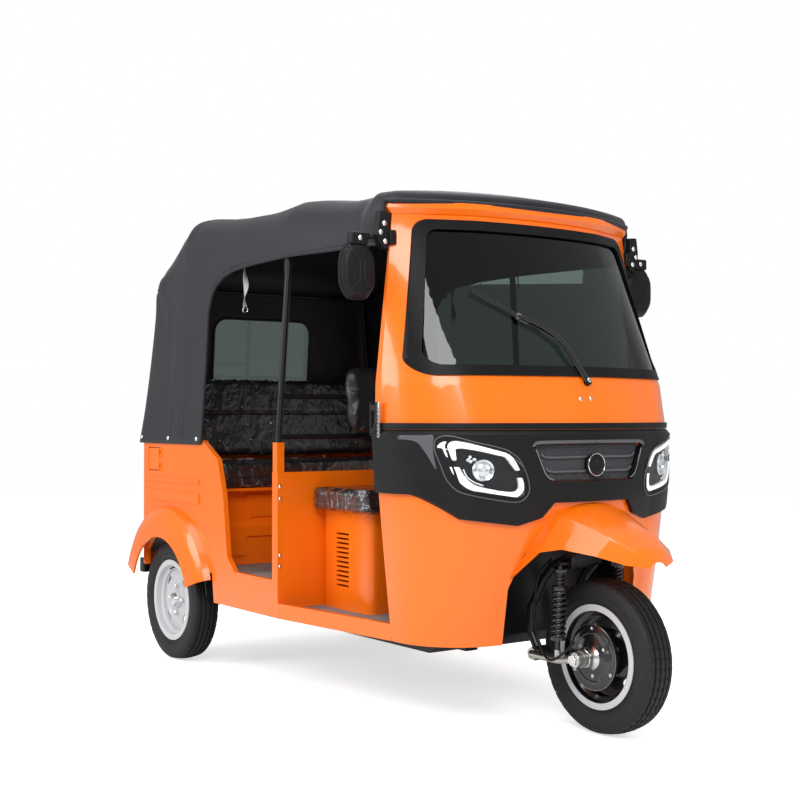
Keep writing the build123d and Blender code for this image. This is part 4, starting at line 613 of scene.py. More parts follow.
def settle_cloth(cloth, out):
    """Soft folds: fine ripples along the sides, ridges over the bows and fans at the upper rear corners."""
    moved = cloth.copy()
    for i, (x, y, z) in enumerate(cloth):
        lower = max(0.0, 1.0 - abs(z - 1.25) / 0.45) * ramp_up(y, 1.72, 0.2)
        fold = 0.0026 * lower * noise.noise(Vector((y * 14.0, z * 1.3, x * 2.0)))
        drift = 0.0022 * noise.noise(Vector((x * 3.0 + 4.0, y * 3.0, z * 3.0)))
        corner = bell(y, 2.20, 0.12) * bell(z, 1.60, 0.10) * bell(abs(x), 0.54, 0.08)
        fan = 0.0055 * corner * math.sin(math.atan2(z - 1.61, y - 2.26) * 9.0)
        ridge = 0.0015 * sum(bell(y, bow, 0.022) for bow in HOOD_BOWS) * ramp_up(z, 1.55, 0.15)
        moved[i] += out[i] * (fold + drift + fan - 0.0025 + ridge)
    return moved


def border_links(faces):
    """For each border vertex of a sheet, the ones that share a border edge with it."""
    shared = {}
    for face in faces:
        for a, b in zip(face, face[1:] + face[:1]):
            key = (min(a, b), max(a, b))
            shared[key] = shared.get(key, 0) + 1
    links = {}
    for (a, b), times in shared.items():
        if times == 1:
            links.setdefault(a, []).append(b)
            links.setdefault(b, []).append(a)
    return links


def is_open(x, y, z):
    """Whether the hood is cut away here: the doors, the front below the peak and the rear window."""
    door = y < DOOR_REAR and z < door_height(y) and abs(x) > DOOR_INNER
    nose = z < PEAK_FOOT + 0.0008 and (y < DOOR_FRONT - 0.002 or (y < 0.62 and abs(x) < 0.50))
    half_height = (WINDOW_HIGH - WINDOW_LOW) / 2
    dx = max(0.0, abs(x) - WINDOW_HALF + WINDOW_RADIUS)
    dz = max(0.0, abs(z - WINDOW_LOW - half_height) - half_height + WINDOW_RADIUS)
    return door or nose or (y > BACK_FROM and math.hypot(dx, dz) < WINDOW_RADIUS)


def cut_hood(cloth, faces):
    """Takes out the openings and trues up the cut edges."""
    window = window_path()
    keep = [face for face in faces if not is_open(*cloth[list(face)].mean(axis=0))]
    used = sorted({i for face in keep for i in face})
    renumber = {old: new for new, old in enumerate(used)}
    keep = [tuple(renumber[i] for i in face) for face in keep]
    vertices = [Vector(cloth[i]) for i in used]
    for i in border_links(keep):
        x, y, z = vertices[i]
        if y > BACK_FROM and z > 1.05 and abs(x) < 0.40:
            vertices[i].x, vertices[i].z = nearest_on_path((x, z), window)
        elif z < HOOD_HEM + 0.02:
            vertices[i].z = HOOD_HEM
        elif z > 1.725 and y < 0.55:
            vertices[i].z = PEAK_FOOT
        elif y < 1.75 and abs(x) > DOOR_INNER:
            vertices[i].y, vertices[i].z = nearest_on_path((y, z), DOOR_EDGE)
    return [at(*v) for v in vertices], keep


def edge_chains(vertices, faces):
    """Chains of border vertices of a sheet."""
    links = border_links(faces)
    chains, seen = [], set()
    for start in sorted(links):
        if start in seen:
            continue
        chain, here, before = [start], start, None
        seen.add(start)
        while True:
            onward = [n for n in links[here] if n != before and (n not in seen or n == start)]
            if not onward or onward[0] == start:
                break
            before, here = here, onward[0]
            seen.add(here)
            chain.append(here)
        chains.append([vertices[i] for i in chain])
    return chains


def edge_radius(place):
    """Thickness of the binding at a place: a roll over the peak, piping at the doors, a thin hem."""
    if place.z > 1.70 and place.y < at(0, 0.56, 0).y:
        return 0.0095
    if place.z < HOOD_HEM + 0.01:
        return 0.0032
    return 0.0075 if place.y < at(0, 1.78, 0).y else 0.0055


def build_hood():
    """The hood's sheet with its rolled front, edge binding and seams."""
    vertices, faces = make_hood()
    hood = make_piece("hood_cover", [(vertices, faces)], "hood_cloth")
    add_modifier(hood, "SOLIDIFY", thickness=0.0024, offset=-1.0, use_even_offset=True)
    binding = []
    for chain in edge_chains(vertices, faces):
        line = [(a + b + c) / 3 for a, b, c in zip(chain[-1:] + chain, chain, chain[1:] + chain[:1])]
        binding.append(tube_mesh(line, [edge_radius(p) for p in line], sides=8, closed=True))
    trim = make_piece("hood_binding", binding, "hood_cloth")
    seams = [seam_over(y, proud) for y, proud in HOOD_SEAMS]
    stitching = make_piece("hood_seams", seams, "hood_cloth")
    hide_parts("canopy")


def seam_over(y, proud):
    """Flat sewn welt over the hood at a station, from one hem or door edge to the other."""
    start = HOOD_HEM + 0.03 if y > 1.72 else door_height(y) + 0.02
    steps, sunk = 90, 0.0022
    angles = np.linspace(-0.5 * pi, 0.5 * pi, steps)
    core = np.tile((0.0, y, 1.56), (steps, 1))
    out = np.column_stack((np.sin(angles), np.zeros(steps), np.cos(angles)))
    top = on_hood(core, out) - out * sunk
    levels = np.arange(start, 1.55, 0.02)
    foot = np.column_stack((np.zeros(len(levels)), np.full(len(levels), y), levels))
    way = np.tile((-1.0, 0.0, 0.0), (len(levels), 1))
    left = on_hood(foot, way) - way * sunk
    right = left[::-1] * (-1.0, 1.0, 1.0)
    return tube_mesh([at(*p) for p in (*left, *top, *right)], proud * 1.6, sides=8)


build_hood()


# ---- cushions
UNWRAPPED = "driver_backrest"    # the one pad without a plastic wrap
PAD_SKIN = {"use_pressure": True, "uniform_pressure_force": 4.0, "quality": 5, "mass": 0.4,
            "tension_stiffness": 40.0, "compression_stiffness": 40.0, "bending_stiffness": 2.0}
PAD_FRAMES = 14                  # frames that a pad swells for
PAD_ROOM = 0.004                 # its skin stays this near the box of the CAD pad
CREASE_WRAPPED, CREASE_PLAIN = 0.0030, 0.0006


def cushion_from(node, cap, shrink):
    """Padded piece grown from a CAD pad: remeshed, blown up as cloth, its swelling capped."""
    source = NODES[node].data.copy()
    pad = bpy.data.objects.new(node + "_pad", source)
    bpy.context.scene.collection.objects.link(pad)
    source.materials.clear()
    source.materials.append(MATERIALS["plain_vinyl" if node == UNWRAPPED else "seat_vinyl"])
    centre = sum((v.co for v in source.vertices), Vector()) / len(source.vertices)
    low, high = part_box(node)
    for vertex in source.vertices:
        for axis in range(3):
            vertex.co[axis] = (centre[axis] + (vertex.co[axis] - centre[axis])
                               * (1 - 2 * shrink / (high - low)[axis]))
    add_modifier(pad, "REMESH", mode="VOXEL", voxel_size=0.010)
    flat = apply_modifiers(pad)
    blow_up(pad, flat, cap)
    return pad


def blow_up(pad, flat, cap):
    """Lets a pad's skin swell under pressure, by cap at most."""
    cloth = add_modifier(pad, "CLOTH")
    for key, value in PAD_SKIN.items():
        setattr(cloth.settings, key, value)
    cloth.settings.effector_weights.gravity = 0.0
    cloth.collision_settings.use_collision = False
    cloth.collision_settings.use_self_collision = False
    scene = bpy.context.scene
    for step in range(1, PAD_FRAMES + 1):
        scene.frame_set(step)
    apply_modifiers(pad)
    scene.frame_set(1)
    for vertex, before in zip(pad.data.vertices, flat):
        move = vertex.co - before
        if move.length > cap:
            vertex.co = before + move * (cap / move.length)


def apply_modifiers(piece):
    """Applies a piece's modifiers and returns where its points are."""
    evaluated = piece.evaluated_get(bpy.context.evaluated_depsgraph_get())
    mesh = bpy.data.meshes.new_from_object(evaluated)
    piece.modifiers.clear()
    piece.data = mesh
    return [v.co.copy() for v in mesh.vertices]


def film_folds(place, seed):
    """Height of the creases of a loose film over a pad at a point."""
    where = Vector(place) * 9.0 + Vector((seed, seed * 0.7, 0.0))
    ridge = 1.0 - abs(noise.noise(where)) * 2.2
    fine = 1.0 - abs(noise.noise(where * 2.7 + Vector((3.1, 0.2, 0.9)))) * 2.4
    return max(0.0, ridge) ** 4 + 0.45 * max(0.0, fine) ** 4


def finish_cushion(pad, node, seams, seed):
    """Sewn channels, film creases and smooth shading; the pad then rides on the cab in place of the hidden
    CAD pad.
    """
    add_modifier(pad, "SUBSURF", levels=1, render_levels=1)
    apply_modifiers(pad)
    vertices = pad.data.vertices
    places, normals = np.empty(len(vertices) * 3), np.empty(len(vertices) * 3)
    vertices.foreach_get("normal", normals)
    vertices.foreach_get("co", places)
    places, normals = places.reshape(-1, 3), normals.reshape(-1, 3)
    inset = np.zeros(len(places))
    for axis, place, width, depth in seams:
        inset += depth * bell(places[:, axis], place, width)
    height = CREASE_PLAIN if node == UNWRAPPED else CREASE_WRAPPED
    crease = np.array([film_folds(place, seed) for place in places]) * height
    places = places + normals * (crease - inset - 0.001)[:, None]
    low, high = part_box(node)
    places = np.clip(places, np.array(low) - PAD_ROOM, np.array(high) + PAD_ROOM)
    vertices.foreach_set("co", places.ravel())
    pad.data.update()
    for polygon in pad.data.polygons:
        polygon.use_smooth = True
    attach(pad, "cab")
    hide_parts(node)


# columns: node, fill, cap, shrink, sewn lines (axis, place, width, depth)
CUSHIONS = (
    ("driver_cushion", 0.75, 0.010, 0.004, ((2, 0.712, 0.004, 0.004),)),
    ("driver_backrest", 0.70, 0.010, 0.004, ()),
    ("passenger_cushion", 0.80, 0.010, 0.003, ((2, 0.770, 0.004, 0.004),)),
    ("passenger_backrest", 0.70, 0.010, 0.003, ((2, 1.045, 0.006, 0.009),)),
)
for index, (node, fill, cap, shrink, seams) in enumerate(CUSHIONS):
    finish_cushion(cushion_from(node, cap, shrink), node, seams, 3.7 * (index + 1))


# ---- tyres
TYRE_OUTER = 0.250
TREAD_HALF = 0.046
GROOVES = (-0.030, -0.011, 0.011, 0.030)
GROOVE_HALF = 0.0032
GROOVE_DEPTH = 0.0065
TYRE_STEPS = 288
SIPE_EVERY, SIPE_SLANT, SIPE_DEPTH = 6, 160, 0.0030         # steps round, steps per metre across, depth
SIPE_SHIFTS = (0, 3, 1, 4, 2)                               # of each rib, in steps
LUG_EVERY, LUG_DEPTH, LUG_FOOT = 8, 0.0026, 0.226           # steps round, depth, least radius
# from the shoulder to the bead: offset across, radius
TYRE_SIDE = ((0.0500, 0.2405), (0.0535, 0.2350), (0.0562, 0.2280), (0.0575, 0.2190), (0.0578, 0.2110),
             (0.0570, 0.2020), (0.0548, 0.1925), (0.0556, 0.1905), (0.0530, 0.1840), (0.0485, 0.1765),
             (0.0440, 0.1715), (0.0436, 0.1530))
TREAD, SHOULDER, WALL = 1, 2, 0


def tyre_profile():
    """Closed outline of a tyre: offset across, radius and kind of surface."""
    stops = list(np.linspace(-TREAD_HALF, TREAD_HALF, 41))
    for g in GROOVES:
        stops = [s for s in stops if abs(s - g) > GROOVE_HALF + 0.0006]
        stops += [g + share for wall in (GROOVE_HALF + 0.0002, GROOVE_HALF * 0.6) for share in (-wall, wall)]
    outline = []
    for s in sorted(stops):
        deep = any(abs(s - g) < GROOVE_HALF * 0.9 for g in GROOVES)
        crown = TYRE_OUTER - 0.006 * (s / TREAD_HALF) ** 2 - 0.0004
        outline.append((s, crown - (GROOVE_DEPTH if deep else 0.0), TREAD))
    side = [(x, r, SHOULDER if r > 0.22 else WALL) for x, r in TYRE_SIDE]
    return outline + side + [(-x, r, kind) for x, r, kind in reversed(side)]


def build_tyre(node, body):
    """Tyre with four grooves round it, sipes across the ribs and lugs on the shoulders."""
    centre = middle_of(node)
    outline = tyre_profile()
    vertices = []
    for k in range(TYRE_STEPS):
        angle = 2 * pi * k / TYRE_STEPS
        for across, radius, kind in outline:
            if kind == TREAD:
                rib = sum(1 for g in GROOVES if across > g)
                phase = (k + SIPE_SHIFTS[rib] + int(across * SIPE_SLANT)) % SIPE_EVERY
                radius -= SIPE_DEPTH if phase == 0 and abs(across) < TREAD_HALF - 0.0005 else 0.0
            elif kind == SHOULDER:
                phase = (k + (0 if across > 0 else 3)) % LUG_EVERY
                radius -= LUG_DEPTH if phase in (0, 1) and radius > LUG_FOOT else 0.0
            vertices.append(centre + Vector((across, sin(angle) * radius, cos(angle) * radius)))
    tread = (vertices, wheel_faces(TYRE_STEPS, len(outline)))
    tyre = make_piece(node + "_tread", [tread], "tyre", body, split=40.0)
    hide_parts(node)


# outlines turned about the axle: offset outward, radius
RIM_EDGE = 0.0480
RIM_LIP = ((-0.0030, 0.1684), (0.0009, 0.1688), (0.0009, 0.1655), (0.0007, 0.1482), (-0.0030, 0.1478))
WHEEL_NUT = ((0.0, 0), (0.0, 0.0100), (0.004, 0.0096), (0.0075, 0.0055), (0.0080, 0))
WHEEL_CAP = ((0.0, 0), (0.0, 0.0300), (0.003, 0.0290), (0.011, 0.0255), (0.0130, 0.0200), (0.0135, 0))


def rim_extras(node, body, face):
    """Lip, whose silver paints the thin bright highlight along the rim's edge, wheel nuts, centre cap and
    valve of a wheel whose outer face looks along face.
    """
    centre = middle_of(node)
    lips = [turned([(side * (RIM_EDGE + along), r) for along, r in RIM_LIP], 120, centre, (1, 0, 0))
            for side in SIDES]
    # the lip's silver is a painted highlight of the rim's bright edge
    make_piece(node + "_lip", lips, "wheel_silver", body, split=35.0)
    nuts = []
    for k in range(4):
        angle = pi / 2 * k
        place = centre + Vector((face * 0.0265, cos(angle) * 0.055, sin(angle) * 0.055))
        nuts.append(turned(WHEEL_NUT, 6, place, (face, 0, 0)))
    nuts.append(turned(WHEEL_CAP, 40, centre + Vector((face * 0.0315, 0, 0)), (face, 0, 0)))
    make_piece(node + "_nuts", nuts, "wheel_silver", body, finish="screw_steel", split=30.0)
    valve = [centre + Vector((face * x, 0.0, z)) for x, z in ((0.030, 0.138), (0.042, 0.135), (0.054, 0.130))]
    make_piece(node + "_valve", [tube_mesh(valve, [0.0042, 0.0034, 0.0030], sides=12)], "tyre", body)


# columns: end of the vehicle, side, body, where the outer face looks along x
WHEELS = (("front", "", "front_wheel", 1), ("rear", "_left", "rear_wheel_left", 1),
          ("rear", "_right", "rear_wheel_right", -1))
for place, side, body, _ in WHEELS:
    build_tyre(f"{place}_tyre{side}", body)
for place, side, body, face in WHEELS:
    rim_extras(f"{place}_rim{side}", body, face)


# ---- the photograph's camera
CAMERA_PLACE = (-3.0027, -3.0807, 1.0265)       # y is behind the front axle
CAMERA_YAW, CAMERA_PITCH = 0.6161, 0.0125
FOCAL_PIXELS, FRAME_PIXELS = 1305.0, 800.0
CAMERA_AHEAD = (sin(CAMERA_YAW) * cos(CAMERA_PITCH), cos(CAMERA_YAW) * cos(CAMERA_PITCH), sin(CAMERA_PITCH))
CAMERA_RIGHT = (cos(CAMERA_YAW), -sin(CAMERA_YAW), 0)
CAMERA_UP = (-sin(CAMERA_YAW) * sin(CAMERA_PITCH), -cos(CAMERA_YAW) * sin(CAMERA_PITCH), cos(CAMERA_PITCH))


def seen_at(x, y, z):
    """Pixel of the photograph, to a tenth, where the camera sees a point; y is behind the front axle."""
    way = (x - CAMERA_PLACE[0], y - CAMERA_PLACE[1], z - CAMERA_PLACE[2])
    axes = (CAMERA_AHEAD, CAMERA_RIGHT, CAMERA_UP)
    ahead, right, up = (sum(a * b for a, b in zip(way, axis)) for axis in axes)
    middle = FRAME_PIXELS / 2
    return round(middle + FOCAL_PIXELS * right / ahead, 1), round(middle - FOCAL_PIXELS * up / ahead, 1)


# ---- nose
# columns: z, nose y, shoulder x and y, corner x and y, cheek x and y
NOSE = np.array(((0.285, 0.160, 0.300, 0.188, 0.452, 0.250, 0.530, 0.430),
                 (0.560, 0.095, 0.310, 0.150, 0.475, 0.222, 0.560, 0.430),
                 (0.760, 0.062, 0.315, 0.118, 0.484, 0.205, 0.580, 0.430),
                 (1.000, 0.056, 0.321, 0.112, 0.494, 0.206, 0.596, 0.430),
                 (1.135, 0.098, 0.330, 0.152, 0.510, 0.246, 0.594, 0.430)))


def circle_through(a, b, c):
    """Middle and radius of the circle through three points of a plane."""
    double = 2 * (a[0] * (b[1] - c[1]) + b[0] * (c[1] - a[1]) + c[0] * (a[1] - b[1]))
    squares = [p[0] ** 2 + p[1] ** 2 for p in (a, b, c)]
    x = (squares[0] * (b[1] - c[1]) + squares[1] * (c[1] - a[1]) + squares[2] * (a[1] - b[1])) / double
    y = (squares[0] * (c[0] - b[0]) + squares[1] * (a[0] - c[0]) + squares[2] * (b[0] - a[0])) / double
    return x, y, math.hypot(a[0] - x, a[1] - y)


@lru_cache(maxsize=None)
def nose_arcs(z):
    """At a height: the shoulder's x, then middle and radius of the front arc and of the corner arc."""
    nose, sx, sy, cx, cy, hx, hy = (float(np.interp(z, NOSE[:, 0], column)) for column in NOSE.T[1:])
    return sx, circle_through((-sx, sy), (0.0, nose), (sx, sy)), circle_through((sx, sy), (cx, cy), (hx, hy))


def nose_face(x, z):
    """Station of the cowl's outer face at x, z."""
    shoulder, front, corner = nose_arcs(z)
    ux, uy, radius = front if abs(x) <= shoulder else corner
    return uy - math.sqrt(max(0.0, radius ** 2 - (abs(x) - ux) ** 2))


def proud_of(x, z, proud):
    """Distance from the middle and station of a point that stands proud of the cowl's face over x, z."""
    slope = (nose_face(x + 0.002, z) - nose_face(x - 0.002, z)) / 0.004
    length = math.hypot(1.0, slope)
    return x + proud * slope / length, nose_face(x, z) - proud / length


def nose_point(x, z, proud, side=1):
    """Point that stands proud of the cowl's face over x, z."""
    aside, station = proud_of(x, z, proud)
    return at(side * aside, station, z)


SEARCH_START, SEARCH_STEP = (0.350, 0.880), 0.100
SEARCH_ROUNDS, SEARCH_SHRINK = 70, 0.6
SEARCH_SIDE = 0.575              # the search stays within this distance from the middle


def on_nose(pixel, proud):
    """Place (x, z), to 0.1 mm, over which the near side of the nose is seen at a pixel: a search whose
    steps get smaller."""
    place, step = SEARCH_START, SEARCH_STEP
    for _ in range(SEARCH_ROUNDS):
        tries = []
        for x in (place[0] - step, place[0], min(SEARCH_SIDE, place[0] + step)):
            for z in (place[1] - step, place[1], place[1] + step):
                aside, station = proud_of(x, z, proud)
                u, v = seen_at(-aside, station, z)
                tries.append((math.hypot(u - pixel[0], v - pixel[1]), (x, z)))
        nearest = min(tries)[1]
        if nearest == place:
            step *= SEARCH_SHRINK
        place = nearest
    return round(place[0], 4), round(place[1], 4)


def picked(points, proud):
    """Places on the nose of points given on the enlarged lamp."""
    return [on_nose((LAMP_VIEW[0] + u / LAMP_ZOOM, LAMP_VIEW[1] + v / LAMP_ZOOM), proud) for u, v in points]


NOSE_STEPS = 5                   # points of a smooth line on the nose for each given one
# outline of a moulded strip's cross-section: share of its width, share of its height
MOULDING = ((0.0, 0.0), (0.0, 0.62), (0.05, 0.86), (0.20, 0.98), (0.5, 1.0), (0.80, 0.98), (0.95, 0.86),
            (1.0, 0.62), (1.0, 0.0))


def nose_strip(pairs, low, high, side):
    """Moulding on the nose between pairs of places (outer, inner), from low to high above its face."""
    outer, inner = (smooth_line([(*pair[edge], 0) for pair in pairs], NOSE_STEPS) for edge in (0, 1))
    vertices = []
    for a, b in zip(outer, inner):
        for share, height in MOULDING:
            place = a + (b - a) * share
            vertices.append(nose_point(place.x, place.y, low + (high - low) * height, side))
    return vertices, capped(len(outer), len(MOULDING))


def nose_tube(points, proud, radius, side, closed=False):
    """Round line laid on the nose."""
    line = smooth_line([(*p, 0) for p in points], NOSE_STEPS, closed)
    return tube_mesh([nose_point(p.x, p.y, proud, side) for p in line], radius, sides=8, closed=closed)


# the near lamp, enlarged: pixel of the photograph at the view's corner, and how many times it is enlarged
LAMP_VIEW, LAMP_ZOOM = (425, 430), 1568 / 110
# pixels of that view, listed; the strips' are in pairs, from their outer to their inner edge
UPPER_OUTER = ((170, 235), (205, 190), (260, 155), (330, 150), (400, 152), (450, 156), (520, 165), (600, 180),
               (750, 215), (900, 255), (1050, 297), (1150, 325), (1230, 375), (1290, 450), (1350, 570))
UPPER_INNER = ((190, 255), (250, 270), (275, 330), (320, 405), (445, 435), (425, 292), (500, 265), (600, 275),
               (750, 300), (900, 330), (1030, 362), (1130, 385), (1180, 430), (1230, 505), (1290, 580))
LOWER_OUTER = ((340, 525), (380, 610), (450, 710), (560, 810), (680, 870), (850, 900), (1000, 932),
               (1100, 950), (1230, 962), (1310, 960), (1375, 910), (1410, 840), (1402, 740), (1375, 680))
LOWER_INNER = ((490, 530), (540, 620), (600, 700), (665, 755), (740, 795), (850, 825), (1000, 855),
               (1100, 872), (1210, 882), (1270, 878), (1310, 855), (1330, 815), (1328, 745), (1315, 685))
BEZEL = ((130, 225), (160, 130), (260, 85), (420, 95), (700, 170), (1000, 235), (1200, 300), (1330, 400),
         (1420, 560), (1470, 700), (1490, 860), (1440, 960), (1350, 1020), (1200, 1025), (900, 980),
         (650, 930), (480, 880), (370, 790), (290, 680), (220, 500), (150, 330))
LAMP_ARC = ((545, 560), (600, 670), (700, 745), (830, 792))
LAMP_STUDS = ((640, 385), (705, 420), (650, 450), (610, 430))
# how far the given edges stand proud of the cowl
STRIP_EDGE, BEZEL_EDGE, ARC_EDGE = 0.012, 0.017, 0.004
FASCIA_FACET = (((.5760, .9530), (.5760, .9665)), ((.5600, .9505), (.5400, .9665)),
                ((.5480, .9430), (.5200, .9660)), ((.5370, .9200), (.5190, .9400)),
                ((.5260, .8920), (.5180, .9050)), ((.5140, .8600), (.5110, .8610)))


# turned about the way out of the nose: distance, radius
LAMP_STUD = ((0.0, 0), (0.0, 0.0075), (0.010, 0.0070), (0.0135, 0.0045), (0.0145, 0))
STUD_SUNK = 0.010


def build_lamps():
    """Daylight strips, rims, studs and the facets beside both headlamps."""
    strips, rims, studs, facets, arcs = [], [], [], [], []
    edges = [list(zip(picked(outer, STRIP_EDGE), picked(inner, STRIP_EDGE)))
             for outer, inner in ((UPPER_OUTER, UPPER_INNER), (LOWER_OUTER, LOWER_INNER))]
    bezel = picked(BEZEL, BEZEL_EDGE)
    arc, stud_places = picked(LAMP_ARC, ARC_EDGE), picked(LAMP_STUDS, ARC_EDGE)
    for side in SIDES:
        strips += [nose_strip(pairs, 0.002, 0.0180, side) for pairs in edges]
        rims.append(nose_tube(bezel, BEZEL_EDGE, 0.0021, side, closed=True))
        arcs.append(nose_tube(arc, ARC_EDGE, 0.0022, side))
        for x, z in stud_places:
            place = nose_point(x, z, -STUD_SUNK, side)
            studs.append(turned(LAMP_STUD, 14, place, nose_point(x, z, STUD_SUNK, side) - place))
        facets.append(nose_strip(FASCIA_FACET, 0.0145, 0.0185, side))
    piece = make_piece("lamp_strips", strips, "strip_white")
    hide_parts("daylight_strips")
    make_piece("lamp_arcs", arcs, "strip_white")
    # the rims' lighter grey is a painted highlight on glossy black plastic
    make_piece("lamp_rims", rims, "black_plastic", finish="satin_grey")
    make_piece("lamp_studs", studs, "lamp_chrome")
    # the facets' lighter grey is a painted reflection of the bright surroundings they face, on black plastic
    make_piece("fascia_facets", facets, "black_plastic", finish="satin_grey")


build_lamps()


# ---- grille
GRILLE_SIDE = ((0.815, 0.938), (0.184, 0.250))      # z, half width of the grille's pocket
GRILLE_LOW, GRILLE_HIGH = 0.8155, 0.9375            # its plate stands a little inside
GRILLE_DEEP, GRILLE_BACK = -0.0085, -0.0135         # front and back of the plate, from the cowl's face
WIRE_PITCH, WIRE_LEAN, WIRE_MIDDLE, WIRE_COUNT = 0.0088, 0.72, 0.876, 40
BADGE_Z, BADGE_RADIUS = 0.868, 0.036
# one line for each slat, x and z; its last two places are the turned-up tip
SLATS = (((.030, .8950), (.129, .8935), (.176, .8930), (.198, .8965), (.2085, .9040)),
         ((.030, .8480), (.110, .8475), (.160, .8470), (.181, .8505), (.1920, .8580)))
GRILLE_BAR = (((.0, .9386), (.0, .9496)), ((.10, .9384), (.10, .9494)), ((.204, .9374), (.204, .9484)),
              ((.2300, .9352), (.2340, .9452)), ((.2390, .9285), (.2480, .9310)))
GRILLE_RIM = ((.2325, .9200), (.2180, .8850), (.2020, .8480), (.1880, .8300), (.1700, .8215))


def grille_half(z):
    """Half width of the grille's pocket at a height."""
    return float(np.interp(z, *GRILLE_SIDE))


def grille_plate():
    """Back plate of the grille, with a lining strip down each end of its pocket."""
    rows, columns = 14, 41
    plate = [nose_point((grille_half(z) - 0.0005) * (2 * c / (columns - 1) - 1), z, proud)
             for proud in (GRILLE_DEEP, GRILLE_BACK) for z in np.linspace(GRILLE_LOW, GRILLE_HIGH, rows)
             for c in range(columns)]
    edge = [((grille_half(z) - 0.0002, z), (grille_half(z) - 0.0030, z))
            for z in np.linspace(GRILLE_LOW, GRILLE_HIGH, 6)]
    return [two_skins(plate, rows, columns)] + [nose_strip(edge, -0.013, 0.0155, side) for side in SIDES]


def grille_wires():
    """Diagonal wires in both directions, which cross just in front of the plate."""
    wires = []
    for way in (-1, 1):
        for k in range(-WIRE_COUNT, WIRE_COUNT + 1):
            line = []
            for z in np.arange(GRILLE_LOW + 0.001, GRILLE_HIGH - 0.0005, 0.006):
                x = k * WIRE_PITCH + way * (z - WIRE_MIDDLE) * WIRE_LEAN
                if abs(x) < grille_half(z) - 0.003:
                    line.append(nose_point(x, z, GRILLE_DEEP + 0.0022 + 0.0004 * way))
            if len(line) > 2:
                wires.append(tube_mesh(line, 0.00125, sides=6))
    return wires


def grille_slats():
    """Two slats a side and the bar above them."""
    slats = []
    for line in SLATS:
        pairs = [((x, z - 0.0042), (x, z + 0.0042)) for x, z in line[:-2]]
        pairs += [((x + 0.003, z - 0.0034), (x - 0.003, z + 0.0034)) for x, z in line[-2:]]
        slats += [nose_strip(pairs, -0.012, 0.0045, side) for side in SIDES]
    return slats + [nose_strip(GRILLE_BAR, 0.012, 0.0195, side) for side in SIDES]


def build_grille():
    """Grille: back plate, diagonal wire mesh, slats and bar, rims and the blank badge."""
    mesh = make_piece("grille_mesh", grille_plate(), "black_plastic")
    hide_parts("grille")
    make_piece("grille_wires", grille_wires(), "black_plastic", finish="satin_grey")
    make_piece("grille_slats", grille_slats(), "black_plastic", finish="satin_grey")
    middle = at(0.0, nose_face(0.0, BADGE_Z), BADGE_Z)
    edge = BADGE_RADIUS - 0.001
    disc = ((-0.014, 0), (-0.014, edge), (0.0160, edge), (0.0178, edge - 0.0025),
            (0.0186, BADGE_RADIUS * 0.6), (0.0189, 0))
    make_piece("badge_disc", [turned(disc, 72, middle, AHEAD)], "black_plastic")
    ring = ((0.010, -0.0012), (0.0172, -0.0012), (0.0186, 0.0002), (0.0176, 0.0016), (0.010, 0.0016))
    ring = [(along, BADGE_RADIUS + step) for along, step in ring]
    make_piece("badge_ring", [turned(ring, 72, middle, AHEAD)], "lamp_chrome", finish="chrome_plate")
    rims = [nose_tube(GRILLE_RIM, 0.0150, 0.0016, side) for side in SIDES]
    make_piece("grille_rims", rims, "black_plastic", finish="rim_line")


build_grille()


# ---- blocks and bands
BLOCK_STEPS = 4                  # steps round each rounded edge
BLOCK_RISE = 86                  # degrees; the flat ends take the rest
# where the points of a band's cross-section lie round it
BAND_TURNS = (0, 0.45, 1.15, pi / 2, pi - 1.15, pi - 0.45, pi, pi + 0.45, pi + 1.15, 1.5 * pi, -1.15, -0.45)


def rounded_block(low, high, radius):
    """Block with rounded edges."""
    vertices = []
    rises = np.radians(np.linspace(0, BLOCK_RISE, BLOCK_STEPS + 1))
    levels = [(-1, -rise) for rise in rises[::-1]] + [(1, rise) for rise in rises]
    for up, rise in levels:
        for quarter in range(4):
            corner = Vector((high[0] - radius if quarter in (0, 3) else low[0] + radius,
                             high[1] - radius if quarter in (0, 1) else low[1] + radius,
                             high[2] - radius if up > 0 else low[2] + radius))
            for k in range(BLOCK_STEPS + 1):
                turn = pi / 2 * (quarter + k / BLOCK_STEPS)
                way = Vector((cos(turn) * cos(rise), sin(turn) * cos(rise), sin(rise)))
                vertices.append(corner + way * radius)
    return vertices, capped(len(levels), 4 * (BLOCK_STEPS + 1))


def band(points, facing, width, thick):
    """Flat bar along points with rounded edges; facing, width and thick may change from point to point."""
    count = len(points)
    facings = facing if isinstance(facing, list) else [facing] * count
    widths = width if hasattr(width, "__len__") else [width] * count
    thicks = thick if hasattr(thick, "__len__") else [thick] * count
    shape = []
    for a in BAND_TURNS:
        u, v = cos(a) * (1 if abs(cos(a)) > 0.99 else 0.96), sin(a)
        shape.append((math.copysign(abs(u) ** 0.5, u), math.copysign(abs(v) ** 0.6, v)))
    vertices = []
    for i, point in enumerate(points):
        along = (Vector(points[min(i + 1, count - 1)]) - Vector(points[max(i - 1, 0)])).normalized()
        face = Vector(facings[i])
        face = (face - along * face.dot(along)).normalized()
        across = along.cross(face)
        across, face = across * (widths[i] / 2), face * (thicks[i] / 2)
        vertices += [Vector(point) + across * u + face * v for u, v in shape]
    return vertices, capped(count, len(shape))


# ---- mirrors
MIRROR_MIDDLE, MIRROR_HALF = (0.645, 1.504), (0.067, 0.096)        # across and up
MIRROR_FRONT, MIRROR_BACK = 0.464, 0.510
MIRROR_GRID = 61                 # points each way over a mirror's shell
MIRROR_GROOVE = ((0.86, 0.86), (0.13, 0.30), (0.13, -0.30), (0.86, -0.86))      # shares of the half sizes
GROOVE_DROP, GROOVE_WIDTH = 0.085, 0.0030
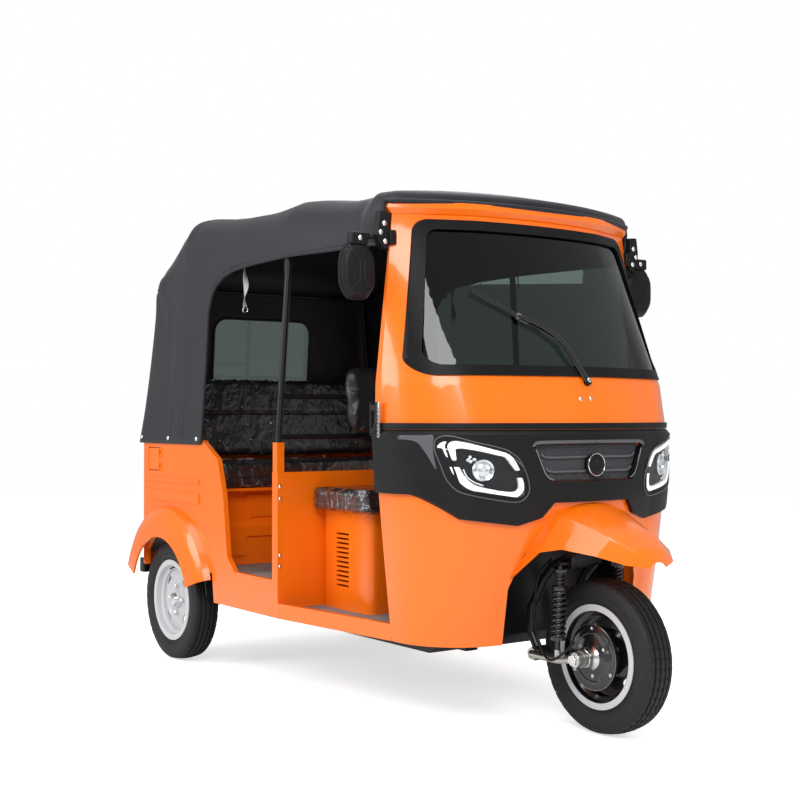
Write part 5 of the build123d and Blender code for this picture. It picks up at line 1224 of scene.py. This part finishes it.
# rounded blocks of an arm: x, y and z from and to, radius
ARM_BLOCKS = ((0.614, 0.680, 0.471, 0.505, 1.590, 1.630, 0.006),
              (0.528, 0.556, 0.431, 0.472, 1.593, 1.641, 0.005))
ARM_LINE = ((0.545, 0.451, 1.6175), (0.575, 0.464, 1.6185), (0.603, 0.477, 1.6185), (0.630, 0.488, 1.6170))
# collars at a point of the arm, counted from either end: half length, radius
ARM_COLLARS = ((3, 0.006, 0.0112), (-4, 0.007, 0.0120))


def octagon_norm(u, v):
    """1 on the outline of a rounded octagon."""
    return (abs(u) ** 14 + abs(v) ** 14 + ((abs(u) + abs(v)) / 1.52) ** 14) ** (1 / 14)


def gap_to(point, path):
    """Distance from a point to a chain of straight runs."""
    near = nearest_on_path(point, path)
    return math.hypot(near[0] - point[0], near[1] - point[1])


def on_mirror(side, px, y, pz):
    """Point of a mirror, from the middle of its shell."""
    return at(side * (MIRROR_MIDDLE[0] + px), y, MIRROR_MIDDLE[1] + pz)


def mirror_shell(side):
    """Shell of a mirror: bevelled front with two grooves, and the rim round the glass at the back."""
    half_x, half_z = MIRROR_HALF
    grooves = [[(s * half_x * u, half_z * v) for u, v in MIRROR_GROOVE] for s in (-1, 1)]
    front, back = [], []
    shares = [2 * i / (MIRROR_GRID - 1) - 1 for i in range(MIRROR_GRID)]
    for u in shares:
        for v in shares:
            most = max(abs(u), abs(v))
            scale = most / octagon_norm(u, v) if most > 0 else 0.0
            px, pz = u * scale * half_x, v * scale * half_z
            bulge = 1.0 - 0.22 * most ** 2 - 0.50 * max(0.0, (most - 0.76) / 0.24) ** 1.8
            bulge -= GROOVE_DROP * sum(bell(gap_to((px, pz), path), 0.0, GROOVE_WIDTH) for path in grooves)
            y = MIRROR_BACK - 0.008 - (MIRROR_BACK - MIRROR_FRONT - 0.008) * bulge
            front.append(on_mirror(side, px, y, pz))
            rim = 1.0 if most < 0.90 else max(0.0, abs(most - 0.955) / 0.045) ** 2
            back.append(on_mirror(side, px, MIRROR_BACK - 0.0045 * rim, pz))
    return two_skins(front + back, MIRROR_GRID, MIRROR_GRID)


def mirror_pane(side):
    """Glass of a mirror, a little hollow from its middle to its edge."""
    half_x, half_z = MIRROR_HALF
    vertices = []
    for j in range(MIRROR_GRID):
        u, v = cos(2 * pi * j / MIRROR_GRID), sin(2 * pi * j / MIRROR_GRID)
        scale = 0.895 / octagon_norm(u, v)
        vertices.append(on_mirror(side, u * scale * half_x, MIRROR_BACK - 0.0036, v * scale * half_z))
    vertices.append(on_mirror(side, 0.0, MIRROR_BACK - 0.0030, 0.0))
    return vertices, [(j, (j + 1) % MIRROR_GRID, MIRROR_GRID) for j in range(MIRROR_GRID)]


def mirror_arm(side):
    """Arm of a mirror: two blocks, the rod between them and its collars."""
    parts = []
    for x0, x1, y0, y1, z0, z1, radius in ARM_BLOCKS:
        inner, outer = sorted((side * x0, side * x1))
        parts.append(rounded_block(at(inner, y0, z0), at(outer, y1, z1), radius))
    line = smooth_line([at(side * x, y, z) for x, y, z in ARM_LINE], 5)
    parts.append(tube_mesh(line, 0.0088, sides=14))
    for place, half, radius in ARM_COLLARS:
        collar = ((-half, 0), (-half, radius), (half, radius), (half, 0))
        parts.append(turned(collar, 24, line[place], line[place + 1] - line[place - 1]))
    return parts


def build_mirrors():
    """Both mirrors with their arms, blocks and bolts."""
    piece = make_piece("mirror_shells", [mirror_shell(side) for side in SIDES], "black_plastic")
    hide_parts("mirrors")
    make_piece("mirror_arms", mirror_arm(-1) + mirror_arm(1), "black_plastic")
    make_piece("mirror_panes", [mirror_pane(side) for side in SIDES], "black_plastic", finish="mirror_face")
    bolts = [bolt(at(side * 0.646, 0.471, 1.611), AHEAD, 0.0060, 0.004) for side in SIDES]
    make_piece("mirror_bolts", bolts, "black_plastic", finish="screw_steel")


build_mirrors()

# ---- wiper
WIPER_BLADE = ((-0.353, 0.258, 1.438), (-0.053, 0.136, 1.268))
WIPER_CLIP = (-0.191, 0.192, 1.347)
# from the pivot over the elbow towards the clip
WIPER_ARM = ((0.008, 0.096, 1.141), (-0.024, 0.115, 1.196), (-0.066, 0.142, 1.273), (-0.125, 0.166, 1.318))


# turned about the pivot: distance, radius
WIPER_BOSS = ((-0.020, 0), (-0.020, 0.014), (0.008, 0.014), (0.010, 0.0115), (0.010, 0))
WIPER_NUT = ((0.009, 0), (0.009, 0.0085), (0.015, 0.0085), (0.0175, 0.006), (0.0180, 0))


def build_wiper():
    """Wiper: rubber and holder, clip, bent arm that tapers, and the nut at its pivot."""
    _, normal = front_face(nodes_tree("windscreen_glass"), -0.15, 1.36)
    a, b = at(*WIPER_BLADE[0]), at(*WIPER_BLADE[1])
    shares = np.linspace(0, 1, 25)
    line = [a + (b - a) * share for share in shares]
    height = [0.010 + 0.010 * sin(pi * (share * 0.94 + 0.03)) ** 0.6 for share in shares]
    parts = [band(line, normal, height, 0.007),
             band([p - normal * 0.005 for p in line], normal, 0.0045, 0.010)]
    way = (b - a).normalized()
    clip = a + way * (at(*WIPER_CLIP) - a).dot(way)
    parts.append(band([clip + way * step for step in (-0.024, -0.020, 0.020, 0.024)], normal,
                      [0.020, 0.029, 0.029, 0.020], [0.010, 0.015, 0.015, 0.010]))
    arm = smooth_line([*(at(*place) for place in WIPER_ARM), clip + normal * 0.004], 6)
    shares = np.linspace(0, 1, len(arm))
    parts.append(band([p + normal * 0.006 for p in arm], normal, 0.024 - 0.011 * shares,
                      0.012 - 0.004 * shares))
    piece = make_piece("wiper_arm", parts, "black_plastic", finish="wheel_black", split=50.0)
    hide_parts("wiper")
    pivot = at(*WIPER_ARM[0])
    make_piece("wiper_boss", [turned(WIPER_BOSS, 28, pivot, normal)], "black_plastic")
    nut = [turned(WIPER_NUT, 6, pivot, normal)]
    make_piece("wiper_nut", nut, "black_plastic", finish="screw_steel", split=30.0)


build_wiper()


# ---- straps, brackets, fasteners
STRAP_X, STRAP_Y, STRAP_TOP, STRAP_LENGTH = 0.518, 1.489, 1.632, 0.176
STRAP_POINTS = 41
POST_PLATE = ((.556, 1.700), (.590, 1.702), (.597, 1.655), (.600, 1.622), (.592, 1.596), (.572, 1.576),
              (.556, 1.580))
POST_BOLTS = ((.5730, 1.6600), (.5870, 1.6300), (.5690, 1.6010))
POST_FRONT, POST_BACK = 0.438, 0.470
SNAP_STATIONS, SNAP_Z = (2.270, 2.004, 1.740), 0.934
PARTITION_SCREWS = (.768, .724, .515, .475, .303)
SCUTTLE_SCREWS = ((-.032, 1.084), (.013, 1.086))
HINGE_LOW, HINGE_HIGH, HINGE_STAND = 0.958, 1.073, 0.0030
PERFORATION = ((0.0, 0), (0.0, 0.0028), (0.0006, 0.0028), (0.0007, 0))


def build_straps():
    """Grab straps: a twisted strap with a ring at its lower end."""
    straps, rings = [], []
    for side in SIDES:
        line, facing = [], []
        for share in np.linspace(0, 1, STRAP_POINTS):
            turn = pi * 1.5 * share
            x = STRAP_X + 0.0035 * sin(turn * 2)
            line.append(at(side * x, STRAP_Y, STRAP_TOP - STRAP_LENGTH * share))
            facing.append(Vector((side * cos(turn), sin(turn), 0.0)))
        straps.append(band(line, facing, 0.021, 0.0026))
        rings.append(ring_mesh(at(side * STRAP_X, STRAP_Y, 1.448), (0, 1, 0.2), 0.0105, 0.0022))
    piece = make_piece("strap_bands", straps, "strap_web")
    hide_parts("grab_straps")
    make_piece("strap_rings", rings, "strap_web", finish="chrome_plate")


def build_brackets():
    """Black plates with bolts that join the posts to the peak."""
    plates, bolts = [], []
    count = len(POST_PLATE)
    faces = [tuple(range(count)), tuple(range(count, 2 * count))[::-1]]
    faces += [(i, i + count, (i + 1) % count + count, (i + 1) % count) for i in range(count)]
    for side in SIDES:
        plates.append(([at(side * x, y, z) for y in (POST_FRONT, POST_BACK) for x, z in POST_PLATE], faces))
        bolts += [bolt(at(side * x, POST_FRONT, z), AHEAD, 0.0062, 0.005) for x, z in POST_BOLTS]
    plate = make_piece("post_plates", plates, "black_plastic", smooth=False)
    add_modifier(plate, "BEVEL", width=0.003, segments=3)
    make_piece("post_bolts", bolts, "black_steel", finish="screw_steel")


def build_fasteners():
    """Snaps along the hood's hem, screws of the partition and of the scuttle."""
    heads = []
    tree = nodes_tree("partition")
    for side in SIDES:
        for y in SNAP_STATIONS:
            skin = on_hood(np.array([[0.0, y, SNAP_Z]]), np.array([[float(side), 0.0, 0.0]]))[0]
            heads.append(bolt(at(*skin) - Vector((side * 0.001, 0, 0)), (side, 0, 0), 0.0075, 0.0045))
        heads += [bolt(*front_face(tree, side * 0.588, z), 0.0048, 0.003) for z in PARTITION_SCREWS]
    tree = nodes_tree("front_cowl", "belt_trim", "windscreen_surround")
    heads += [bolt(*front_face(tree, x, z), 0.0050, 0.003) for x, z in SCUTTLE_SCREWS]
    make_piece("fastener_heads", heads, "axle_zinc", finish="screw_steel")


def post_plate(side, reach, y0, y1, depth, radius):
    """Upright plate on a front post, from y0 to y1, standing out by depth."""
    inner, outer = sorted((side * (reach - 0.003), side * (reach + depth)))
    return rounded_block(at(inner, y0, HINGE_LOW), at(outer, y1, HINGE_HIGH), radius)


def build_hinges():
    """Perforated hinge strips and their dark leaves on the rear edges of the front posts."""
    strips, leaves = [], []
    tree = nodes_tree("front_cowl", "belt_trim", "windscreen_surround", "fascia")
    for side in SIDES:
        reach = max(abs(first_hit(tree, at(side * FAR, 0.428, z), (-side, 0, 0))[0].x)
                    for z in (0.965, 0.995, 1.04, 1.07))
        strips.append(post_plate(side, reach, 0.4130, 0.4270, HINGE_STAND, 0.0012))
        leaves.append(post_plate(side, reach, 0.4280, 0.4330, 0.0050, 0.0020))
        leaves += [turned(PERFORATION, 14, at(side * (reach + HINGE_STAND), 0.4200, z), (side, 0, 0))
                   for z in np.arange(0.966, 1.070, 0.0125)]
    make_piece("hinge_strips", strips, "axle_zinc", finish="screw_steel")
    make_piece("hinge_leaves", leaves, "black_plastic")


build_straps()
build_hinges()
build_brackets()
build_fasteners()


# ---- brake and hub, turned about the axle: distance from the wheel's middle, radius
BRAKE_PLATE = ((0.0615, 0.0265), (0.0652, 0.0300), (0.0652, 0.0420), (0.0634, 0.0450), (0.0634, 0.0750),
               (0.0658, 0.0780), (0.0658, 0.0840), (0.0634, 0.0870), (0.0634, 0.1015), (0.0615, 0.1068),
               (0.0525, 0.1068), (0.0518, 0.1020), (0.0518, 0.0268))
HUB_CONE = ((0.0600, 0.0262), (0.0652, 0.0400), (0.0700, 0.0395), (0.0760, 0.0340), (0.0820, 0.0300),
            (0.0900, 0.0282), (0.0980, 0.0282), (0.0990, 0.0262))
AXLE_WASHER = ((0.1405, 0), (0.1405, 0.0225), (0.1425, 0.0225), (0.1430, 0))
AXLE_NUT = ((0.1428, 0), (0.1428, 0.0195), (0.1520, 0.0195), (0.1545, 0.0165), (0.1548, 0))
BRAKE_BOLT_RINGS = (0.060, 0.094)


def build_brake():
    """Brake plate with its ribs and bolts, the cone of the hub and the nuts of the stub axle."""
    near = (-1, 0, 0)
    make_piece("brake_plate", [turned(BRAKE_PLATE, 96, AXLE, near)], "wheel_black", "steering", split=35.0)
    cone = [turned(HUB_CONE, 48, AXLE, near)]
    for side in SIDES:
        cone += [turned(AXLE_WASHER, 36, AXLE, (side, 0, 0)), turned(AXLE_NUT, 6, AXLE, (side, 0, 0))]
    for k in range(6):
        turn, radius = 0.5 + k * pi / 3, BRAKE_BOLT_RINGS[k % 2]
        place = AXLE + Vector((-0.0634, cos(turn) * radius, sin(turn) * radius))
        cone.append(bolt(place, near, 0.0042, 0.004))
    make_piece("hub_cone", cone, "axle_zinc", "steering", finish="screw_steel", split=32.0)


build_brake()


# ---- studio
SENSOR = 36.0


def make_camera():
    """Camera at the photograph's place and angle."""
    data = bpy.data.cameras.new("camera")
    data.sensor_width = SENSOR
    data.lens = FOCAL_PIXELS / FRAME_PIXELS * SENSOR
    camera = bpy.data.objects.new("camera", data)
    camera.location = at(*CAMERA_PLACE)
    camera.rotation_euler = (pi / 2 + CAMERA_PITCH, 0.0, -CAMERA_YAW)
    bpy.context.scene.collection.objects.link(camera)
    bpy.context.scene.camera = camera


def make_floor():
    """Pale floor: a plane that is white to the camera and keeps the shadow."""
    size = 30.0
    corners = [(-size, -size, 0), (size, -size, 0), (size, size, 0), (-size, size, 0)]
    mesh = bpy.data.meshes.new("floor")
    mesh.from_pydata(corners, [], [(0, 1, 2, 3)])
    floor = bpy.data.objects.new("floor", mesh)
    bpy.context.scene.collection.objects.link(floor)
    material, tree, shader = new_material("floor_white")
    set_sockets(shader, Base_Color=(0.86, 0.86, 0.86, 1.0), Roughness=0.75, Specular_IOR_Level=0.2)
    path = tree.nodes.new("ShaderNodeLightPath")
    level = maths(tree, "MULTIPLY", (path, "Is Camera Ray"), 0.62)
    glow = add_node(tree, "ShaderNodeEmission", Color=(1.0, 1.0, 1.0, 1.0), Strength=(level, "Value"))
    both = tree.nodes.new("ShaderNodeAddShader")
    for source, socket in ((shader, both.inputs[0]), (glow, both.inputs[1]),
                           (both, tree.nodes["Material Output"].inputs["Surface"])):
        tree.links.new(source.outputs[0], socket)
    mesh.materials.append(material)


def make_world():
    """White surroundings for the eye, for gloss and through glass; softer as a light."""
    world = bpy.data.worlds.new("studio")
    bpy.context.scene.world = world
    world.use_nodes = True
    tree = world.node_tree
    background = tree.nodes["Background"]
    path = tree.nodes.new("ShaderNodeLightPath")
    seen = maths(tree, "MAXIMUM", (path, "Is Camera Ray"), (path, "Is Transmission Ray"))
    glossy = maths(tree, "MULTIPLY", (path, "Is Glossy Ray"), 0.15)
    most = maths(tree, "MAXIMUM", (seen, "Value"), (glossy, "Value"))
    level = maths(tree, "MAXIMUM", (most, "Value"), 0.42)
    wire(tree, background.inputs["Color"], (1.0, 1.0, 1.0, 1.0))
    wire(tree, background.inputs["Strength"], (level, "Value"))


# columns: name, place, aim, width, height, watts
LAMPS = (
    ("key", (-3.2, -2.6, 3.6), (0.0, 0.6, 0.9), 2.6, 2.0, 150.0),
    ("side", (-4.2, 2.6, 2.4), (-0.4, 1.2, 0.9), 2.4, 2.0, 90.0),
    ("front", (1.8, -4.2, 2.4), (0.1, 0.0, 0.9), 2.2, 2.0, 80.0),
    ("top", (0.0, 1.0, 4.6), (0.0, 1.0, 0.0), 3.4, 3.4, 110.0),
    ("back", (3.0, 5.0, 3.0), (0.0, 1.5, 1.0), 2.4, 2.0, 70.0),
)


def make_lamps():
    """Soft boxes round the vehicle."""
    for name, place, aim, width, height, watts in LAMPS:
        data = bpy.data.lights.new(name, "AREA")
        data.shape = "RECTANGLE"
        data.size = width
        data.size_y = height
        data.energy = watts
        lamp = bpy.data.objects.new(name, data)
        lamp.location = at(*place)
        lamp.visible_glossy = name != "front"
        lamp.rotation_euler = (at(*aim) - at(*place)).to_track_quat("-Z", "Y").to_euler()
        bpy.context.scene.collection.objects.link(lamp)


make_camera()
make_floor()
make_world()
make_lamps()
bpy.context.scene.view_settings.view_transform = "Standard"
